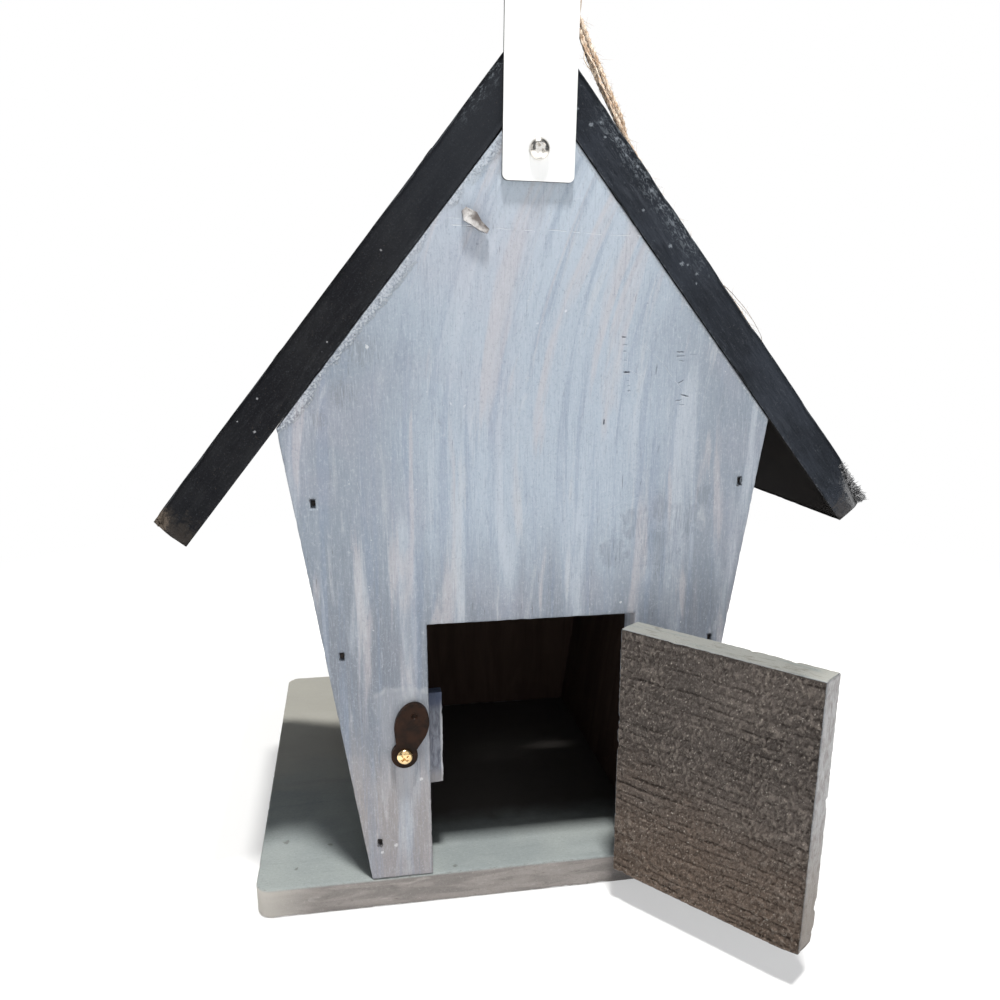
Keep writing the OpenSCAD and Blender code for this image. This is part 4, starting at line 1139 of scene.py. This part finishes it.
def twine(pts_mm, radius, pitch=5.5, strands=3, step=0.45, sides=10, seed=5, phase=0.0):
    """Three strands laid round each other, each with its own yarn twist and lumpy surface."""
    pts, s = evenly(pts_mm, step)
    t, u, v = frames(pts)
    verts, faces, deep = [], [], []
    rs, ro = radius * 0.53, radius * 0.47
    for k in range(strands):
        ang = phase + 2 * math.pi * (s / pitch + k / strands)
        centre = pts + ro * (np.cos(ang)[:, None] * u + np.sin(ang)[:, None] * v)
        ct = np.gradient(centre, axis=0)
        ct /= np.linalg.norm(ct, axis=1)[:, None]
        cu = (centre - pts)
        cu -= (cu * ct).sum(1)[:, None] * ct
        cu /= np.linalg.norm(cu, axis=1)[:, None]
        cv = np.cross(ct, cu)
        base = len(verts)
        for j in range(sides):
            a = 2 * math.pi * j / sides
            q = np.stack([s * 0.8, np.full(len(s), j * 1.7), np.full(len(s), k * 9.0)], 1)
            lump = 0.05 * fbm(q, 3, seed + k)
            yarn = 0.045 * np.sin(5 * a + s * 5.0)
            r = rs * (1 + lump + yarn)
            verts.append(centre + r[:, None] * (math.cos(a) * cu + math.sin(a) * cv))
            # deep marks where the strands face each other and the yarn grooves, for painted shade in the jute material
            deep.append(np.full(len(s), max(0.0, -math.cos(a)) ** 1.0 * 1.0) + 0.25 * (np.sin(5 * a + s * 5.0) < -0.3))
        m_ = len(pts)
        for j in range(sides):
            j2 = (j + 1) % sides
            for i in range(m_ - 1):
                a0, a1 = (base + j) * m_ + i, (base + j) * m_ + i + 1
                b0, b1 = (base + j2) * m_ + i, (base + j2) * m_ + i + 1
                faces.append((a0, b0, b1, a1))
        faces.append([(base + j) * m_ for j in range(sides)][::-1])
        faces.append([(base + j) * m_ + m_ - 1 for j in range(sides)])
    return np.concatenate(verts), faces, np.clip(np.concatenate(deep), 0, 1)


def mesh_from(name, verts_mm, faces, mats, attrs=None):
    me = bpy.data.meshes.new(name)
    me.from_pydata((np.asarray(verts_mm) * MM).tolist(), [], [tuple(int(i) for i in f) for f in faces])
    me.update()
    bm = bmesh.new()
    bm.from_mesh(me)
    bmesh.ops.recalc_face_normals(bm, faces=bm.faces)
    bm.to_mesh(me)
    bm.free()
    for k, v_ in (attrs or {}).items():
        set_attr(me, k, v_)
    for mt in mats:
        me.materials.append(mt)
    smooth(me)
    return me


line = spline(ROUTE, 8)
tv, tf, td = twine(line, CORD_R)
loop = new_piece("jute_loop_twine", mesh_from("jute_loop_twine", tv, tf, [M_JUTE], {"deep": td}),
                 "house", ["jute_loop"])


def fibres(pts_mm, radius, count, seed, longest=5.0, thick=0.045):
    """Loose hairs standing off the twine."""
    rng = np.random.default_rng(seed)
    pts, s = evenly(pts_mm, 0.5)
    t, u, v = frames(pts)
    verts, faces = [], []
    for _ in range(count):
        i = int(rng.integers(6, len(pts) - 6))
        a = rng.uniform(0, 2 * math.pi)
        out = math.cos(a) * u[i] + math.sin(a) * v[i]
        d = t[i] * rng.choice([-1, 1]) * rng.uniform(0.6, 1.2) + out * rng.uniform(0.25, 0.9)
        d /= np.linalg.norm(d)
        bend = rng.normal(0, 0.35, 3)
        length = rng.uniform(0.25, 1.0) ** 1.4 * longest
        at = pts[i] + out * radius * 0.85
        ks = 6
        ring0 = None
        for k in range(ks):
            f = k / (ks - 1)
            c = at + d * length * f + bend * length * 0.35 * f * f
            e1 = np.cross(d, (0.3, 0.5, 0.8))
            e1 /= np.linalg.norm(e1)
            e2 = np.cross(d, e1)
            r = thick * (1 - 0.6 * f)
            b = len(verts)
            for q in range(3):
                w = 2 * math.pi * q / 3
                verts.append(c + r * (math.cos(w) * e1 + math.sin(w) * e2))
            if ring0 is not None:
                for q in range(3):
                    faces.append((ring0 + q, ring0 + (q + 1) % 3, b + (q + 1) % 3, b + q))
            else:
                faces.append((b + 2, b + 1, b))
            ring0 = b
        faces.append((ring0, ring0 + 1, ring0 + 2))
    return np.array(verts), faces


def thin(points, r, seed):
    """One loose yarn: a thin wavering tube, tapered to its free end."""
    pts, s_ = evenly(spline(points, 8), 0.5)
    wob = np.stack([fbm(np.stack([s_ * 0.35, s_ * 0 + k * 7.0, s_ * 0 + seed], 1), 3, seed) for k in range(3)], 1)
    pts = pts + wob * 0.45 * np.clip(s_ / 2.0, 0, 1)[:, None]
    _, u_, v_ = frames(pts)
    n_, sides_ = len(pts), 6
    rr = r * (1 - 0.7 * (s_ / s_[-1]) ** 3)
    verts = np.concatenate([pts + rr[:, None] * (math.cos(a) * u_ + math.sin(a) * v_)
                            for a in [2 * math.pi * j / sides_ for j in range(sides_)]])
    faces = []
    for j in range(sides_):
        j2 = (j + 1) % sides_
        faces += [(j * n_ + i, j2 * n_ + i, j2 * n_ + i + 1, j * n_ + i + 1) for i in range(n_ - 1)]
    faces.append([j * n_ for j in range(sides_)][::-1])
    faces.append([j * n_ + n_ - 1 for j in range(sides_)])
    return verts, faces


def gather(items):
    verts, faces, at = [], [], 0
    for a, b in items:
        verts.append(a)
        faces += [[i + at for i in f] for f in b]
        at += len(a)
    return np.concatenate(verts), faces


yv, yf = gather([
    thin([[13.4, -70.2, 253.6], [14.6, -71.2, 256.2], [14.7, -72.0, 259.4], [14.4, -72.6, 262.6], [14.5, -72.8, 265.5]], 0.22, 3),
    thin([[13.0, -69.6, 254.6], [14.2, -71.6, 255.6], [14.9, -72.0, 258.0], [14.3, -72.2, 261.0]], 0.12, 7),
    thin([[15.2, -70.8, 250.6], [15.6, -72.8, 247.6], [17.9, -75.2, 243.2], [18.9, -77.6, 238.0], [20.6, -79.6, 233.6],
          [22.8, -82.2, 228.0]], 0.24, 11),
    thin([[16.8, -72.8, 245.4], [18.9, -74.4, 243.8], [20.6, -76.4, 239.8], [21.4, -78.8, 235.2], [22.8, -80.8, 230.4],
          [24.6, -82.0, 226.0]], 0.20, 13),
    thin([[16.0, -71.6, 248.4], [15.4, -73.6, 245.0], [17.2, -76.4, 240.6], [17.6, -78.0, 238.4]], 0.13, 17),
    thin([[18.4, -76.0, 240.0], [19.6, -79.4, 236.4], [21.9, -81.2, 232.6], [22.4, -82.6, 230.6]], 0.12, 19),
    thin([[55.0, -80.4, 187.8], [58.6, -83.6, 185.2], [62.4, -84.4, 180.2], [66.4, -83.4, 175.0], [68.6, -80.6, 171.6]], 0.20, 23),
    thin([[58.0, -80.8, 184.0], [60.6, -83.2, 182.4], [63.6, -84.6, 178.6]], 0.12, 29),
])
floor_z = roof_hi.z * 1000 - SLOPE * np.abs(yv[:, 0]) + 0.12
yv[:, 2] = np.maximum(yv[:, 2], floor_z)
yv[:, 2] = np.where(yv[:, 0] > 45.0, np.minimum(yv[:, 2], floor_z + 2.4), yv[:, 2])
yarns = new_piece("jute_loop_loose_yarns", mesh_from("jute_loop_loose_yarns", yv, yf, [M_FIBRE]), "house", [])

fv, ff = fibres(line, CORD_R, 850, 11, 3.4, 0.04)
# hairs stay above the roof boards
surf = roof_hi.z * 1000 - SLOPE * np.abs(fv[:, 0]) + 0.12
fv[:, 2] = np.maximum(fv[:, 2], np.where((np.abs(fv[:, 0]) < 4) & (fv[:, 2] < 253), fv[:, 2], surf))
fv[:, 1] = np.maximum(fv[:, 1], YF * 1000 + 0.2)
hairs = new_piece("jute_loop_fibres", mesh_from("jute_loop_fibres", fv, ff, [M_FIBRE]), "house", [])

# the knot under the ridge, with both ends running up through the hole
ky, kz = -66.0, APEX * 1000 - 8.5
tt = np.linspace(0, 2 * math.pi, 90, endpoint=False)
tref = np.stack([(np.sin(tt) + 2 * np.sin(2 * tt)) * 1.05,
                 ky + (np.cos(tt) - 2 * np.cos(2 * tt)) * 1.05,
                 kz - np.sin(3 * tt) * 1.9], 1)
kv, kf, kd = twine(np.vstack([tref, tref[:1]]), 0.95, step=0.45)
parts = [(kv, kf, kd)]
for s_, dx in ((-2.0, 1), (2.0, -1)):
    run = spline([[0.0, ky + s_, 252], [0.0, ky + s_, 246], [0.0, ky + s_, 240], [0.2 * dx, ky + s_ * 0.95, 234],
                  [0.9 * dx, ky + s_ * 0.7, 230], [1.3 * dx, ky + s_ * 0.3, 226.8]], 6)
    parts.append(twine(run, CORD_R, step=0.5, phase=s_))
V, F, D = [], [], []
base = 0
for a_, b_, c_ in parts:
    V.append(a_)
    F += [[i + base for i in f] for f in b_]
    D.append(c_)
    base += len(a_)
knot = new_piece("loop_knot_twine", mesh_from("loop_knot_twine", np.concatenate(V), F, [M_JUTE],
                                             {"deep": np.concatenate(D)}), "house", ["loop_knot"])

WORLD = 0.09

# ---------------------------------------------------------------- floor and light
fm = Mat("pale_floor")
fn = fm.noise((0.02, 0.02, 0.02), 3, 0.5)
fm.set(Base_Color=fm.mix(fn, (0.80, 0.80, 0.80), (0.83, 0.83, 0.83)), Roughness=0.9)
fm.set(Specular_IOR_Level=0.05)
# the pale floor runs out to white a little way from the object
fx, fy, _ = fm.xyz()
dist = fm.math("SQRT", fm.add(fm.mul(fx, fx), fm.mul(fy, fy)))
white = fm.t.nodes.new("ShaderNodeEmission")
white.inputs[0].default_value = (1, 1, 1, 1)
white.inputs[1].default_value = 1.0
see = fm.t.nodes.new("ShaderNodeLightPath")
blend_f = fm.t.nodes.new("ShaderNodeMixShader")
fac = fm.mul(fm.lerp(fm.step(dist, 150.0, 520.0), 0.45, 1.0), see.outputs["Is Camera Ray"])
fm.t.links.new(fac, blend_f.inputs[0])
out_f = next(n for n in fm.t.nodes if n.type == "OUTPUT_MATERIAL")
fm.t.links.new(out_f.inputs[0].links[0].from_socket, blend_f.inputs[1])
fm.t.links.new(white.outputs[0], blend_f.inputs[2])
fm.t.links.new(blend_f.outputs[0], out_f.inputs[0])
me = bpy.data.meshes.new("floor")
S = 9.0
me.from_pydata([(-S, -S, 0), (S, -S, 0), (S, S, 0), (-S, S, 0)], [], [(0, 1, 2, 3)])
me.materials.append(fm.m)
floor = bpy.data.objects.new("floor", me)
bpy.context.scene.collection.objects.link(floor)

world = bpy.data.worlds.new("studio")
bpy.context.scene.world = world
world.use_nodes = True
wt = world.node_tree
bg = wt.nodes["Background"]
bg.inputs[0].default_value = (0.90, 0.95, 1.0, 1.0)
bg.inputs[1].default_value = WORLD
bg2 = wt.nodes.new("ShaderNodeBackground")
bg2.inputs[0].default_value = (1.0, 1.0, 1.0, 1.0)
bg2.inputs[1].default_value = 1.0
lp = wt.nodes.new("ShaderNodeLightPath")
mx = wt.nodes.new("ShaderNodeMixShader")
wt.links.new(lp.outputs["Is Camera Ray"], mx.inputs[0])
wt.links.new(bg.outputs[0], mx.inputs[1])
wt.links.new(bg2.outputs[0], mx.inputs[2])
wt.links.new(mx.outputs[0], wt.nodes["World Output"].inputs[0])


def area(name, at, size, power, colour, to=(0.0, -0.04, 0.12)):
    d = bpy.data.lights.new(name, "AREA")
    d.shape = "RECTANGLE"
    d.size, d.size_y = size
    d.energy = power
    d.color = colour
    o = bpy.data.objects.new(name, d)
    bpy.context.scene.collection.objects.link(o)
    o.location = at
    o.rotation_euler = (Vector(to) - Vector(at)).to_track_quat("-Z", "Y").to_euler()
    return o


area("overhead", (-0.02, -0.47, 1.75), (0.16, 0.16), 41, (1.0, 0.985, 0.96))
area("softbox", (0.25, -1.55, 0.78), (2.0, 1.3), 8.5, (0.97, 0.985, 1.0))
area("left_fill", (-1.5, -0.5, 0.7), (1.0, 1.0), 2, (1.0, 0.98, 0.95))
area("rear", (-0.28, 0.66, 1.80), (0.12, 0.12), 40, (1.0, 0.98, 0.94))
area("rear_fill", (0.9, 1.9, 0.9), (1.6, 1.2), 7, (0.97, 0.985, 1.0))
